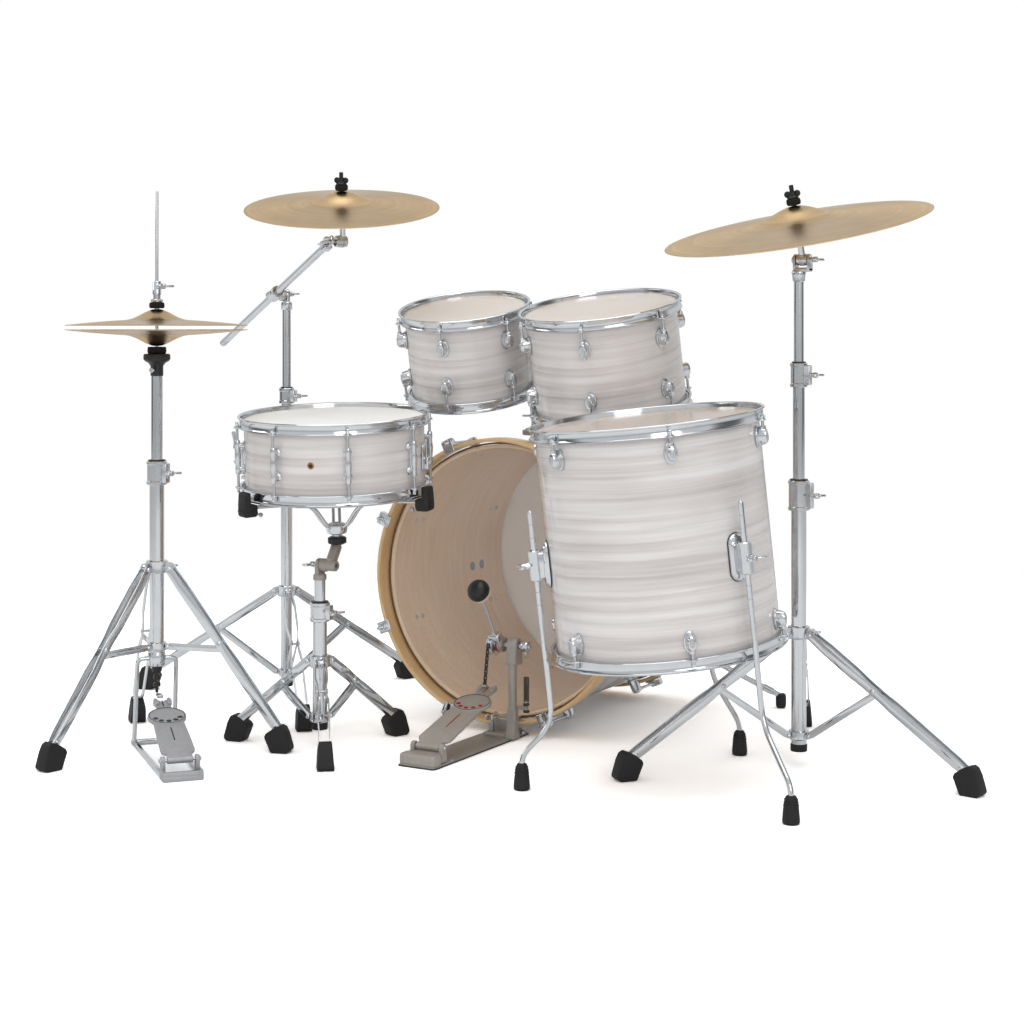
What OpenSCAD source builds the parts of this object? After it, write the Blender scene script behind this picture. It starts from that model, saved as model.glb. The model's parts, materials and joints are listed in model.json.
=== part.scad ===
// Acoustic drum kit: bass drum with pedal, two mounted toms, floor tom, snare
// drum on its stand, hi-hat stand, boom stand with crash and straight stand
// with ride. Lengths are in millimetres. +Y runs from the batter head of the
// bass drum to its front head, +X is to the player's right and +Z is up.

/* [Bass drum] */
// Bass shell diameter
bass_d = 558.8; // [540:1:580]
// Bass shell depth
bass_depth = 457.2; // [440:1:470]
// Depth of each wooden hoop
bass_hoop_depth = 42; // [38:1:44]
// Height of the bass drum's axis above the floor
bass_z = 310; // [308:1:314]

/* [Toms and snare] */
// Small tom shell diameter
small_tom_d = 254; // [248:1:258]
// Small tom shell depth
small_tom_depth = 177.8; // [165:1:185]
// Large tom shell diameter
large_tom_d = 304.8; // [298:1:308]
// Large tom shell depth
large_tom_depth = 203.2; // [190:1:206]
// Floor tom shell diameter
floor_tom_d = 406.4; // [400:1:410]
// Floor tom shell depth
floor_tom_depth = 406.4; // [390:1:410]
// Snare shell diameter
snare_d = 355.6; // [350:1:358]
// Snare shell depth
snare_depth = 139.7; // [130:1:142]
// Thickness of the drum shells
shell_wall = 7; // [6:0.5:9]

/* [Cymbals] */
// Hi-hat cymbal diameter
hat_d = 356; // [350:1:360]
// Gap between the open hi-hat cymbals at their edges
hat_gap = 10; // [9:0.5:14]
// Crash cymbal diameter
crash_d = 410; // [400:1:415]
// Ride cymbal diameter
ride_d = 510; // [500:1:515]
// Thickness of the cymbals
cymbal_t = 1.4; // [1.2:0.1:2]

/* [Stands] */
// Outer diameter of the thick base tubes
base_tube_d = 28.6; // [28:0.2:30]
// Outer diameter of the middle tubes
middle_tube_d = 22.2; // [21.8:0.2:22.4]
// Outer diameter of the thin upper tubes
upper_tube_d = 19; // [18.8:0.1:19.2]
// Width of the flat strips that make the legs
strip_w = 16; // [14:1:18]
// Thickness of the strips
strip_t = 2.4; // [2:0.2:2.6]
// Diameter of the bent floor tom legs and spurs
leg_rod_d = 10; // [9:0.5:11]

/* [Hidden] */
$fn = 64;
fit_gap = 0.5;          // running clearance between neighbouring pieces
pin_d = 8;              // hinge pins of the tilters
pin_bore_d = pin_d + 2 * fit_gap;
rim_rise = 8;           // height of a steel rim above its head
hoop_h = 22;            // height of a steel hoop
rod_d = 5.4;            // tension rod
rod_offset = 13.5;      // distance from a shell to its tension rods
head_t = 1;             // thickness of a drum head
head_drop = rim_rise + head_t + fit_gap;
foot_h = 40;            // height of a stand's rubber foot

// Shift that puts the origin at the bottom centre of the kit's box
origin_shift = [15.8, 78.2, 0];

// Each drum: centre of its upper rim, tilt towards the player and roll
small_tom_at = [-143, 47, 877];
small_tom_turn = [14.4, 2.1, 0];
large_tom_at = [179, 41, 878];
large_tom_turn = [12.5, -0.9, 0];
floor_tom_at = [416.5, -238.7, 671];
floor_tom_turn = [4.4, -4.4, 0];
snare_at = [-255.5, -262, 662.3];
snare_turn = [4.1, 1.2, 0];
bass_at = [-44.5, 10, bass_z];
bass_turn = [-90, 0, 0];

// Angle of the first lug round each drum
small_tom_lug = -80.8;
large_tom_lug = -76.7;
floor_tom_lug = -53.6;
snare_lug = 43;
bass_lug = 22.5;

// Distance from the rim to the middle of the lugs
small_tom_lug_z = 58;
large_tom_lug_z = 60;
floor_tom_lug_z = 50;

// Bass drum, measured along its axis from the rim of the batter hoop
bass_hoop_r = bass_d / 2 + 14.6;
bass_hoop_wall = 7.5;
bass_head_in = 30;
bass_shell_in = bass_head_in + head_t + fit_gap;
bass_length = bass_depth + 2 * bass_shell_in;
bass_rod_r = bass_hoop_r + 9;

// Stands: pole, foot radius, first foot angle, leg collar height, hub height,
// radius and height of the brace joint, diameter of the base tube
hat_stand = [[-561.8, -434.1], 273, 20, 358, 200, 132, 198, base_tube_d];
crash_stand = [[-637.7, 92.5], 366, 72.6, 240, 57, 170, 150, 25.4];
snare_stand = [[-279, -277], 204, 69, 172, 61, 81, 115, base_tube_d];
ride_stand = [[595.1, 59.5], 375, -10.5, 252.5, 58, 165, 155, base_tube_d];
STANDS = [hat_stand, crash_stand, snare_stand, ride_stand];

// Heights on the stands
hat_collar = [520, 567];
hat_seat_z = 765;
hat_edge_z = 826;
hat_rod_top = 1103;
crash_lower_collar = [440, 480];
crash_collar = [660, 695];
crash_tube_top = 884;
crash_clamp_z = 906;
ride_lower_collar = [484, 541];
ride_collar = [718, 764];
ride_tube_top = 936;
snare_collar = [250, 288];
snare_elbow_z = 362;

// Cymbal stands: cymbal centre, turn of the cymbal and drop to the tilter
crash_at = [-374.4, -66.1, 1082];
crash_turn = [13, 7.6, 0];
crash_drop = 72;
ride_turn = [13, -4.6, 0];
ride_drop = 62;
ride_pivot = [603, 59.5, 960];

// Unit vector of a turned piece's own +Z
function up_of(turn) = [
    cos(turn.x) * sin(turn.y), -sin(turn.x), cos(turn.x) * cos(turn.y)];
crash_pivot = crash_at - crash_drop * up_of(crash_turn);
ride_at = ride_pivot + ride_drop * up_of(ride_turn);

// Boom: from the clamp on the pole to the crash tilter
boom_clamp_at = [crash_stand[0].x, crash_stand[0].y, crash_clamp_z];
boom_run = crash_pivot - boom_clamp_at;
boom_azimuth = atan2(boom_run.y, boom_run.x);
boom_level = norm([boom_run.x, boom_run.y]);
boom_rise = atan2(boom_run.z, boom_level);
boom_length = norm(boom_run);
boom_tail = 330;
boom_side = 24;         // the boom passes beside the pole
boom_d = 15.8;

// Tom holder on top of the bass shell, and the tops of its two posts
holder_at = [bass_at.x, 270, bass_z + bass_d / 2 + fit_gap];
post_d = 22;
post_half_span = 42;
small_post = [holder_at.x - post_half_span, holder_at.y];
large_post = [holder_at.x + post_half_span, holder_at.y];
small_elbow_z = 795;
large_elbow_z = 790;
tom_rod_d = 12.7;

// Bass spurs
spur_y = 430;
spur_angle = 36;
spur_tip = [411, 540];

// Pedals
kick_x = -20;
kick_axle = [kick_x, -22, 190];
kick_hinge = [kick_x, -284, 32];
kick_toe = [kick_x, -52, 103];
kick_ball = [kick_x, -96, 305];
kick_post_x = 38;
kick_cam_r = 24;
hat_pedal_turn = -40;   // direction in which the hi-hat footboard points
hat_hinge_r = 262;
hat_toe_r = 24;
hat_toe_z = 108;
hinge_z = 32;
hinge_pin_d = 6;

// ---- Plain shapes ----

// Stands its children on point a, with their +Z towards point b
module along(a, b) {
    v = b - a;
    translate(a)
        rotate([0, acos(v.z / norm(v)), atan2(v.y, v.x)]) children();
}

module rod(a, b, d) {
    along(a, b) cylinder(h = norm(b - a), d = d);
}

// Flat bar: w lies in the upright plane through the bar, t across it
module bar(a, b, w, t) {
    along(a, b) translate([-w / 2, -t / 2, 0]) cube([w, t, norm(b - a)]);
}

// Round rod through a list of points, with a ball at each bend
module bent_rod(points, d) {
    for (i = [0 : len(points) - 2]) rod(points[i], points[i + 1], d);
    for (i = [1 : len(points) - 2]) translate(points[i]) sphere(d = d + 0.6);
}

module ring(od, id, h) {
    difference() {
        cylinder(h = h, d = od);
        translate([0, 0, -1]) cylinder(h = h + 2, d = id);
    }
}

// Pill-shaped outline
module pill(w, h) {
    square([w, h - w], center = true);
    for (s = [-1, 1]) translate([0, s * (h - w) / 2]) circle(d = w);
}

// Wing screw along +X from the origin
module wing_screw(reach = 16) {
    rotate([0, 90, 0]) cylinder(h = reach, d = 8);
    translate([reach, 0, 0]) rotate([90, 0, 90])
        linear_extrude(5) pill(10, 30);
}

module on_pole(stand) {
    translate([stand[0].x, stand[0].y, 0]) children();
}

// ---- Drum parts, in a frame whose origin is the centre of the rim ----

module drum_shell(d, depth) {
    translate([0, 0, -head_drop - depth])
        ring(d, d - 2 * shell_wall, depth);
}

module drum_head(d) {
    r = d / 2;
    rotate_extrude() polygon([
        [0, 0], [r + 5, 0], [r + 5, -9], [r + 0.6, -9],
        [r + 0.6, -head_t], [0, -head_t]]);
}

module drum_heads(d, depth) {
    translate([0, 0, -rim_rise]) drum_head(d);
    translate([0, 0, rim_rise - 2 * head_drop - depth])
        mirror([0, 0, 1]) drum_head(d);
}

module steel_hoop(d, lugs, first) {
    r = d / 2;
    sheet = 2.3;
    ear_rise = 0.3;     // the ears are a little thicker than the sheet
    difference() {
        union() {
            rotate_extrude() polygon([
                [r + 6, -hoop_h], [r + 11, -hoop_h],
                [r + 11, sheet - hoop_h], [r + 6 + sheet, sheet - hoop_h],
                [r + 6 + sheet, -sheet], [r + 12, -sheet], [r + 12, 0],
                [r + 6, 0]]);
            for (i = [0 : lugs - 1]) rotate([0, 0, first + i * 360 / lugs])
                translate([r + rod_offset, 0, -hoop_h - ear_rise])
                    cylinder(h = sheet + 2 * ear_rise, d = 13);
        }
        for (i = [0 : lugs - 1]) rotate([0, 0, first + i * 360 / lugs])
            translate([r + rod_offset, 0, -hoop_h - 1])
                cylinder(h = sheet + 2, d = rod_d + 1.2);
    }
}

module steel_hoops(d, depth, lugs, first) {
    steel_hoop(d, lugs, first);
    translate([0, 0, -2 * head_drop - depth])
        mirror([0, 0, 1]) steel_hoop(d, lugs, first);
}

// Tension rod from height z up to its square head above the hoop's ear
module tension_rod(d, z) {
    translate([d / 2 + rod_offset, 0, 0]) {
        translate([0, 0, z]) cylinder(h = -hoop_h + 3 - z, d = rod_d);
        translate([0, 0, -hoop_h + 2.8]) cylinder(h = 3, d = 9.4);
        translate([-3, -3, -hoop_h + 5.8]) cube([6, 6, 6]);
    }
}

module oval_lug(d, z) {
    translate([d / 2 + 0.6, 0, z]) rotate([90, 0, 90]) {
        linear_extrude(5) pill(23, 38);
        linear_extrude(20) pill(17, 31);
    }
}

module tom_fittings(d, depth, lugs, first, lug_z) {
    bottom = -2 * head_drop - depth;
    for (i = [0 : lugs - 1]) rotate([0, 0, first + i * 360 / lugs]) {
        oval_lug(d, -lug_z);
        tension_rod(d, -lug_z);
        translate([0, 0, bottom]) mirror([0, 0, 1]) {
            oval_lug(d, -lug_z);
            tension_rod(d, -lug_z);
        }
    }
}

module at_small_tom() {
    translate(small_tom_at) rotate(small_tom_turn) children();
}
module at_large_tom() {
    translate(large_tom_at) rotate(large_tom_turn) children();
}
module at_floor_tom() {
    translate(floor_tom_at) rotate(floor_tom_turn) children();
}
module at_snare() {
    translate(snare_at) rotate(snare_turn) children();
}
module at_bass() {
    translate(bass_at) rotate(bass_turn) children();
}

// ---- Bass drum ----

module bass_shell() {
    color("gainsboro") at_bass()
        translate([0, 0, bass_shell_in])
            ring(bass_d, bass_d - 2 * shell_wall, bass_depth);
}

module bass_heads() {
    color("white") at_bass() {
        translate([0, 0, bass_head_in]) mirror([0, 0, 1]) drum_head(bass_d);
        translate([0, 0, bass_length - bass_head_in]) drum_head(bass_d);
    }
}

module bass_hoop(z) {
    color("burlywood") at_bass() translate([0, 0, z])
        ring(2 * bass_hoop_r, 2 * (bass_hoop_r - bass_hoop_wall),
            bass_hoop_depth);
}
module bass_hoop_batter() { bass_hoop(0); }
module bass_hoop_front() { bass_hoop(bass_length - bass_hoop_depth); }

// One bass lug with its rod and the claw that hooks over the hoop
module bass_lug_set() {
    lug_z = bass_shell_in + 72;
    translate([bass_d / 2 + 0.6, 0, lug_z]) rotate([90, 0, 90]) {
        linear_extrude(6) pill(24, 42);
        linear_extrude(bass_rod_r - bass_d / 2 + 6) pill(18, 32);
    }
    translate([bass_rod_r, 0, -8]) cylinder(h = lug_z + 8, d = 6);
    translate([bass_rod_r, 0, -12]) cylinder(h = 6, d = 10);
    // claw: block round the rod, side plate and front lip
    translate([bass_hoop_r + fit_gap, -12, -4]) cube([3, 24, 34]);
    translate([bass_hoop_r - 14, -12, -4]) cube([18, 24, 3.4]);
    translate([bass_hoop_r + 3, -9, -5]) cube([13, 18, 14]);
}

module bass_fittings() {
    color("silver") at_bass() for (i = [0 : 7]) rotate([0, 0, bass_lug + i * 45]) {
        bass_lug_set();
        translate([0, 0, bass_length]) mirror([0, 0, 1]) bass_lug_set();
    }
}

// Bracket block that holds a round leg, standing out from a shell along +X
module leg_bracket(reach, tall, bore) {
    difference() {
        union() {
            rotate([90, 0, 90]) linear_extrude(4) pill(34, tall + 24);
            translate([0, -13, -tall / 2]) cube([reach + 12, 26, tall]);
        }
        translate([reach, 0, -tall])
            cylinder(h = 2 * tall, d = bore + 2 * fit_gap);
    }
    translate([reach + 12, 0, 0]) wing_screw(12);
}

floor_leg_r = floor_tom_d / 2 + 24;
floor_leg_first = floor_tom_lug + 30;
floor_bracket_z = -245;

module spur_bracket(side) {
    translate([bass_at.x, spur_y, bass_z])
        rotate([0, side > 0 ? spur_angle : 180 - spur_angle, 0])
            translate([bass_d / 2 + 0.6, 0, 0]) {
                rotate([90, 0, 90]) linear_extrude(6) pill(44, 62);
                translate([0, -17, -17]) cube([14, 34, 34]);
            }
}

module leg_brackets() {
    color("silver") {
        for (side = [-1, 1]) spur_bracket(side);
        at_floor_tom() for (i = [0 : 2])
            rotate([0, 0, floor_leg_first + i * 120])
                translate([floor_tom_d / 2 + 0.6, 0, floor_bracket_z])
                    leg_bracket(floor_leg_r - floor_tom_d / 2 - 0.6, 56,
                        leg_rod_d);
    }
}

// Swinging spur: hub on the bracket, leg out to a rubber tip on the floor
spur_hub_r = bass_d / 2 + 0.6 + 14 + fit_gap;
function spur_base(side) = [
    bass_at.x + side * (spur_hub_r + 11) * cos(spur_angle), spur_y,
    bass_z - (spur_hub_r + 11) * sin(spur_angle)];

module spur(side) {
    base = spur_base(side);
    foot = [bass_at.x + side * spur_tip.x, spur_tip.y, 26];
    translate([bass_at.x, spur_y, bass_z])
        rotate([0, side > 0 ? spur_angle : 180 - spur_angle, 0])
            translate([spur_hub_r, 0, 0]) rotate([0, 90, 0])
                cylinder(h = 22, d = 34);
    rod(base, foot, leg_rod_d + 2);
    translate([foot.x, foot.y, 0]) cylinder(h = 30, d1 = 20, d2 = 24);
}

module spur_left() { color("silver") spur(-1); }
module spur_right() { color("silver") spur(1); }

// Casting on the bass shell with two sockets for the tom posts
module tom_holder() {
    color("silver") translate(holder_at) difference() {
        union() {
            translate([-70, -34, 6]) cube([140, 68, 12]);
            translate([-24, -34, 0]) cube([48, 68, 8]);
            for (s = [-1, 1]) translate([s * post_half_span, 0, 6]) {
                cylinder(h = 62, d = 36);
                translate([0, -16, 44]) rotate([0, 0, -90]) wing_screw(14);
            }
        }
        for (s = [-1, 1]) translate([s * post_half_span, 0, 8])
            cylinder(h = 70, d = post_d + 2 * fit_gap);
    }
}

// Post that slides in the holder, with the tilter fork on top
module tom_post(at, elbow_z, aim) {
    floor_z = holder_at.z + 8 + fit_gap;
    translate([at.x, at.y, floor_z])
        cylinder(h = elbow_z - floor_z - 22, d = post_d);
    translate([at.x, at.y, elbow_z]) rotate([0, 0, aim]) {
        for (s = [-1, 1]) translate([-15, s * 18 - 3, -30]) cube([30, 6, 46]);
        translate([-15, -18, -30]) cube([30, 36, 12]);
        rotate([90, 0, 0]) translate([0, 0, -21])
            cylinder(h = 42, d = pin_d);
        translate([0, 21, 0]) rotate([0, 0, 90]) wing_screw(10);
    }
}

// Middle of a tom on its own axis, and the direction from it to its post
function tom_middle(at, turn, depth) = at - (depth / 2 + head_drop) * up_of(turn);
small_middle = tom_middle(small_tom_at, small_tom_turn, small_tom_depth);
large_middle = tom_middle(large_tom_at, large_tom_turn, large_tom_depth);
small_aim = atan2(small_post.y - small_middle.y, small_post.x - small_middle.x);
large_aim = atan2(large_post.y - large_middle.y, large_post.x - large_middle.x);

module tom_post_small() {
    color("silver") tom_post(small_post, small_elbow_z, small_aim);
}
module tom_post_large() {
    color("silver") tom_post(large_post, large_elbow_z, large_aim);
}

// Rod from the tilter to the tom's side, with the plate on the shell
module tom_mount(at, turn, d, middle, post, elbow_z, aim) {
    elbow = [post.x, post.y, elbow_z];
    difference() {
        translate(elbow) rotate([0, 0, aim]) rotate([90, 0, 0])
            translate([0, 0, -14]) cylinder(h = 28, d = 26);
        translate(elbow) rotate([0, 0, aim]) rotate([90, 0, 0])
            translate([0, 0, -20]) cylinder(h = 40, d = pin_bore_d);
    }
    difference() {
        rod(elbow - 7 * [cos(aim), sin(aim), 0], [middle.x, middle.y, elbow_z],
            tom_rod_d);
        translate(at) rotate(turn)
            translate([0, 0, -600]) cylinder(h = 600, d = d + 1.2);
    }
    // plate against the shell, square to the rod
    difference() {
        intersection() {
            translate(at) rotate(turn) translate([0, 0, -600])
                cylinder(h = 600, d = d + 18);
            translate([middle.x, middle.y, elbow_z]) rotate([0, 0, aim])
                translate([0, -26, -32]) cube([d, 52, 64]);
        }
        translate(at) rotate(turn)
            translate([0, 0, -600]) cylinder(h = 600, d = d + 1.2);
    }
}

// ---- Small and large tom ----

module small_tom_shell() {
    color("gainsboro") at_small_tom() drum_shell(small_tom_d, small_tom_depth);
}
module small_tom_heads() {
    color("white") at_small_tom() drum_heads(small_tom_d, small_tom_depth);
}
module small_tom_hoops() {
    color("silver") at_small_tom()
        steel_hoops(small_tom_d, small_tom_depth, 6, small_tom_lug);
}
module small_tom_fittings() {
    color("silver") {
        at_small_tom() tom_fittings(small_tom_d, small_tom_depth, 6,
            small_tom_lug, small_tom_lug_z);
        tom_mount(small_tom_at, small_tom_turn, small_tom_d, small_middle,
            small_post, small_elbow_z, small_aim);
    }
}

module large_tom_shell() {
    color("gainsboro") at_large_tom() drum_shell(large_tom_d, large_tom_depth);
}
module large_tom_heads() {
    color("white") at_large_tom() drum_heads(large_tom_d, large_tom_depth);
}
module large_tom_hoops() {
    color("silver") at_large_tom()
        steel_hoops(large_tom_d, large_tom_depth, 6, large_tom_lug);
}
module large_tom_fittings() {
    color("silver") {
        at_large_tom() tom_fittings(large_tom_d, large_tom_depth, 6,
            large_tom_lug, large_tom_lug_z);
        tom_mount(large_tom_at, large_tom_turn, large_tom_d, large_middle,
            large_post, large_elbow_z, large_aim);
    }
}

// ---- Floor tom and its three legs ----

module floor_tom_shell() {
    color("gainsboro") at_floor_tom() drum_shell(floor_tom_d, floor_tom_depth);
}
module floor_tom_heads() {
    color("white") at_floor_tom() drum_heads(floor_tom_d, floor_tom_depth);
}
module floor_tom_hoops() {
    color("silver") at_floor_tom()
        steel_hoops(floor_tom_d, floor_tom_depth, 6, floor_tom_lug);
}
module floor_tom_fittings() {
    color("silver") at_floor_tom() tom_fittings(floor_tom_d, floor_tom_depth,
        6, floor_tom_lug, floor_tom_lug_z);
}

// A point in a drum's own frame, carried to the kit's frame
function carried(p, at, turn) = let (
    a = turn.x, b = turn.y,
    y = p.y * cos(a) - p.z * sin(a),
    z = p.y * sin(a) + p.z * cos(a))
    at + [p.x * cos(b) + z * sin(b), y, z * cos(b) - p.x * sin(b)];
function floor_point(p) = carried(p, floor_tom_at, floor_tom_turn);
function snare_point(p) = carried(p, snare_at, snare_turn);

leg_top_z = -150;
leg_bend_z = -535;
floor_foot_r = 292;
floor_feet_at = [479, -211];
floor_foot_twist = -3.6;

module floor_leg(i) {
    turn = floor_leg_first + i * 120;
    out = [cos(turn), sin(turn), 0];
    top = floor_point(floor_leg_r * out + [0, 0, leg_top_z]);
    bend = floor_point(floor_leg_r * out + [0, 0, leg_bend_z]);
    foot_turn = turn + floor_foot_twist;
    knee = [floor_feet_at.x, floor_feet_at.y, 62]
        + floor_foot_r * [cos(foot_turn), sin(foot_turn), 0];
    ankle = [knee.x, knee.y, 22];
    bent_rod([top, bend, knee, ankle], leg_rod_d);
    translate([knee.x, knee.y, 0]) cylinder(h = 34, d1 = 30, d2 = 22);
}

module floor_leg_left() { color("silver") floor_leg(2); }
module floor_leg_right() { color("silver") floor_leg(0); }
module floor_leg_back() { color("silver") floor_leg(1); }

// ---- Snare drum ----

strainer_turn = 200.5;

module snare_shell() {
    color("gainsboro") at_snare() drum_shell(snare_d, snare_depth);
}
module snare_heads() {
    color("white") at_snare() drum_heads(snare_d, snare_depth);
}
module snare_hoops() {
    color("silver") at_snare()
        steel_hoops(snare_d, snare_depth, 8, snare_lug);
}

// Bridge lug: a tube on two posts, with rods into both ends
module bridge_lug(d, middle, half) {
    translate([d / 2 + rod_offset, 0, middle - half])
        cylinder(h = 2 * half, d = 10);
    for (s = [-1, 1]) translate([d / 2 + 0.6, 0, middle + s * (half - 8)])
        rotate([0, 90, 0]) cylinder(h = rod_offset, d = 12);
}

module snare_fittings() {
    middle = -head_drop - snare_depth / 2;
    color("silver") at_snare() {
        for (i = [0 : 7]) rotate([0, 0, snare_lug + i * 45]) {
            bridge_lug(snare_d, middle, 34);
            tension_rod(snare_d, middle + 20);
            translate([0, 0, 2 * middle]) mirror([0, 0, 1])
                tension_rod(snare_d, middle + 20);
        }
        // strainer body and butt plate
        rotate([0, 0, strainer_turn]) translate([snare_d / 2 + 0.6, 0, middle]) {
            translate([0, -13, -38]) cube([4, 26, 76]);
            translate([3, -10, -30]) cube([14, 20, 34]);
        }
        rotate([0, 0, strainer_turn + 180])
            translate([snare_d / 2 + 0.6, -13, middle - 34]) {
                cube([4, 26, 50]);
                translate([3, 4, 0]) cube([10, 18, 24]);
            }
    }
}

// Coiled wires under the lower head, drawn as a flat band
module snare_wires() {
    color("silver") at_snare() rotate([0, 0, strainer_turn])
        translate([-142, -21, -2 * head_drop - snare_depth + rim_rise - 2.6])
            cube([284, 42, 2]);
}

throw_pivot = [snare_d / 2 + 24, 0, -head_drop - snare_depth / 2 - 18];

module snare_throw_lever() {
    color("silver") at_snare() rotate([0, 0, strainer_turn])
        translate(throw_pivot) {
            rotate([90, 0, 0]) translate([0, 0, -7])
                cylinder(h = 14, d = 11);
            translate([-3, -6, 0]) cube([6, 12, 58]);
        }
}

// ---- Stand parts ----

function foot_turn(stand, i) = stand[2] + 120 * i;
function leg_foot(stand, i) = (stand[1] - 14) * [
    cos(foot_turn(stand, i)), sin(foot_turn(stand, i)), 0];

// Thick tube with the sliding leg collar and the hub for the braces
module base_tube(stand, bottom, top, collar, inner_d) {
    od = stand[7];
    on_pole(stand) difference() {
        union() {
            translate([0, 0, bottom]) cylinder(h = top - bottom, d = od);
            translate([0, 0, collar[0]])
                cylinder(h = collar[1] - collar[0], d = od + 12);
            translate([0, 0, stand[3] - 13]) cylinder(h = 26, d = od + 14);
            translate([0, 0, stand[4] - 9]) cylinder(h = 18, d = od + 10);
            for (i = [0 : 2]) rotate([0, 0, foot_turn(stand, i)]) {
                translate([0, -6.5, stand[3] - 10]) cube([32, 13, 20]);
                translate([0, -3, stand[4] - 7]) cube([26, 6, 14]);
            }
            translate([(od + 10) / 2, 0, (collar[0] + collar[1]) / 2])
                wing_screw();
        }
        translate([0, 0, bottom - 1])
            cylinder(h = top - bottom + 2, d = inner_d + 2 * fit_gap);
    }
}

// Sliding tube with a clamp collar at its top for the next tube
module sliding_tube(stand, bottom, top, od, collar, inner_d) {
    on_pole(stand) difference() {
        union() {
            translate([0, 0, bottom]) cylinder(h = top - bottom, d = od);
            translate([0, 0, collar[0]])
                cylinder(h = collar[1] - collar[0], d = od + 11);
            translate([(od + 9) / 2, 0, (collar[0] + collar[1]) / 2])
                wing_screw();
        }
        translate([0, 0, bottom - 1])
            cylinder(h = top - bottom + 2, d = inner_d + 2 * fit_gap);
    }
}

module hihat_base_tube() {
    color("silver") base_tube(hat_stand, 168, hat_collar[1], hat_collar,
        middle_tube_d);
}
module crash_base_tube() {
    color("silver") {
        base_tube(crash_stand, 30, crash_lower_collar[1],
            crash_lower_collar, middle_tube_d - 2 * fit_gap);
        // the lower extension is clamped low in the base tube
        on_pole(crash_stand) translate([0, 0, crash_lower_collar[0] - 60])
            difference() {
                cylinder(h = crash_collar[1] - crash_lower_collar[0] + 60,
                    d = middle_tube_d + 0.4);
                translate([0, 0, -1])
                    cylinder(h = 500, d = upper_tube_d + 2 * fit_gap);
            }
        on_pole(crash_stand) translate([0, 0, crash_collar[0]]) {
            ring(middle_tube_d + 12, upper_tube_d + 2 * fit_gap,
                crash_collar[1] - crash_collar[0]);
            translate([middle_tube_d / 2 + 5, 0, 17]) wing_screw();
        }
    }
}
module ride_base_tube() {
    color("silver") base_tube(ride_stand, 30, ride_lower_collar[1],
        ride_lower_collar, middle_tube_d);
}
module snare_base_tube() {
    color("silver") base_tube(snare_stand, 40, snare_collar[1],
        snare_collar, middle_tube_d);
}

// Every leg is a pair of strips from its collar to its foot
module tripod_legs() {
    color("silver") for (stand = STANDS) on_pole(stand) for (i = [0 : 2]) {
        turn = foot_turn(stand, i);
        out = [cos(turn), sin(turn), 0];
        across = [-sin(turn), cos(turn), 0];
        for (s = [-1, 1])
            bar(26 * out + [0, 0, stand[3] - 2] + s * 9.2 * across,
                leg_foot(stand, i) + [0, 0, foot_h - 8] + s * 9.2 * across,
                strip_w, strip_t);
    }
}

module tripod_braces() {
    color("silver") for (stand = STANDS) on_pole(stand) for (i = [0 : 2]) {
        turn = foot_turn(stand, i);
        out = [cos(turn), sin(turn), 0];
        across = [-sin(turn), cos(turn), 0];
        joint = stand[5] * out + [0, 0, stand[6]];
        for (s = [-1, 1])
            bar(23.5 * out + [0, 0, stand[4]] + s * 5.2 * across,
                joint + s * 5.2 * across, 11, strip_t);
        translate(joint) rotate([0, 0, turn]) rotate([90, 0, 0])
            translate([0, 0, -7.4]) cylinder(h = 14.8, d = 6);
    }
}

// Rubber boots on the ends of the legs
module rubber_feet() {
    color("dimgray") for (stand = STANDS) on_pole(stand) for (i = [0 : 2])
        rotate([0, 0, foot_turn(stand, i)])
            translate([stand[1] - 17, 0, 0]) rotate([90, 0, 0])
                translate([0, 0, -14]) linear_extrude(28) polygon([
                    [10 - foot_h, foot_h - 9], [-12, 0], [14, 0],
                    [20, 6], [12, foot_h - 8], [-4, foot_h + 6]]);
}

// ---- Hi-hat ----

module hat_pedal_place() {
    on_pole(hat_stand) rotate([0, 0, hat_pedal_turn]) children();
}

module hihat_pedal_frame() {
    color("silver") hat_pedal_place() {
        for (s = [-1, 1])
            bent_rod([[-30, s * 40, 8], [0, s * 38, 176], [0, s * 15.2, 176]],
                8);
        for (s = [-1, 1]) bar([-34, s * 40, 6.5], [hat_hinge_r, s * 34, 6.5],
            10, 8);
        translate([-40, -46, 2]) cube([14, 92, 8]);
        translate([hat_hinge_r - 8, -38, 0]) cube([46, 76, 16]);
        for (s = [-1, 1])
            translate([hat_hinge_r - 6, s * 32 - 4, 10]) cube([16, 8, 28]);
        translate([hat_hinge_r, 0, hinge_z]) rotate([90, 0, 0])
            translate([0, 0, -34]) cylinder(h = 68, d = hinge_pin_d);
    }
}

// Tapered plate of a footboard along +X, from its hinge to its toe
module footboard(length, heel_w, toe_w, oval_w) {
    difference() {
        union() {
            linear_extrude(7) {
                polygon([[0, -heel_w / 2], [length * 0.6, -heel_w / 2 - 3],
                    [length * 0.82, -toe_w / 2], [length, -toe_w / 2],
                    [length, toe_w / 2], [length * 0.82, toe_w / 2],
                    [length * 0.6, heel_w / 2 + 3], [0, heel_w / 2]]);
                translate([length * 0.7, 0]) circle(d = oval_w);
            }
            rotate([90, 0, 0]) translate([0, 0, -26])
                cylinder(h = 52, d = 13);
        }
        rotate([90, 0, 0]) translate([0, 0, -30])
            cylinder(h = 60, d = hinge_pin_d + 2 * fit_gap);
    }
}

hat_board = norm([hat_hinge_r - hat_toe_r, hat_toe_z - hinge_z]);
hat_board_rise = atan2(hat_toe_z - hinge_z, hat_hinge_r - hat_toe_r);

module hihat_footboard() {
    color("darkgray") hat_pedal_place() translate([hat_hinge_r, 0, hinge_z])
        rotate([0, 0, 180]) rotate([0, -hat_board_rise, 0])
            footboard(hat_board - 32, 46, 26, 74);
}

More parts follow.
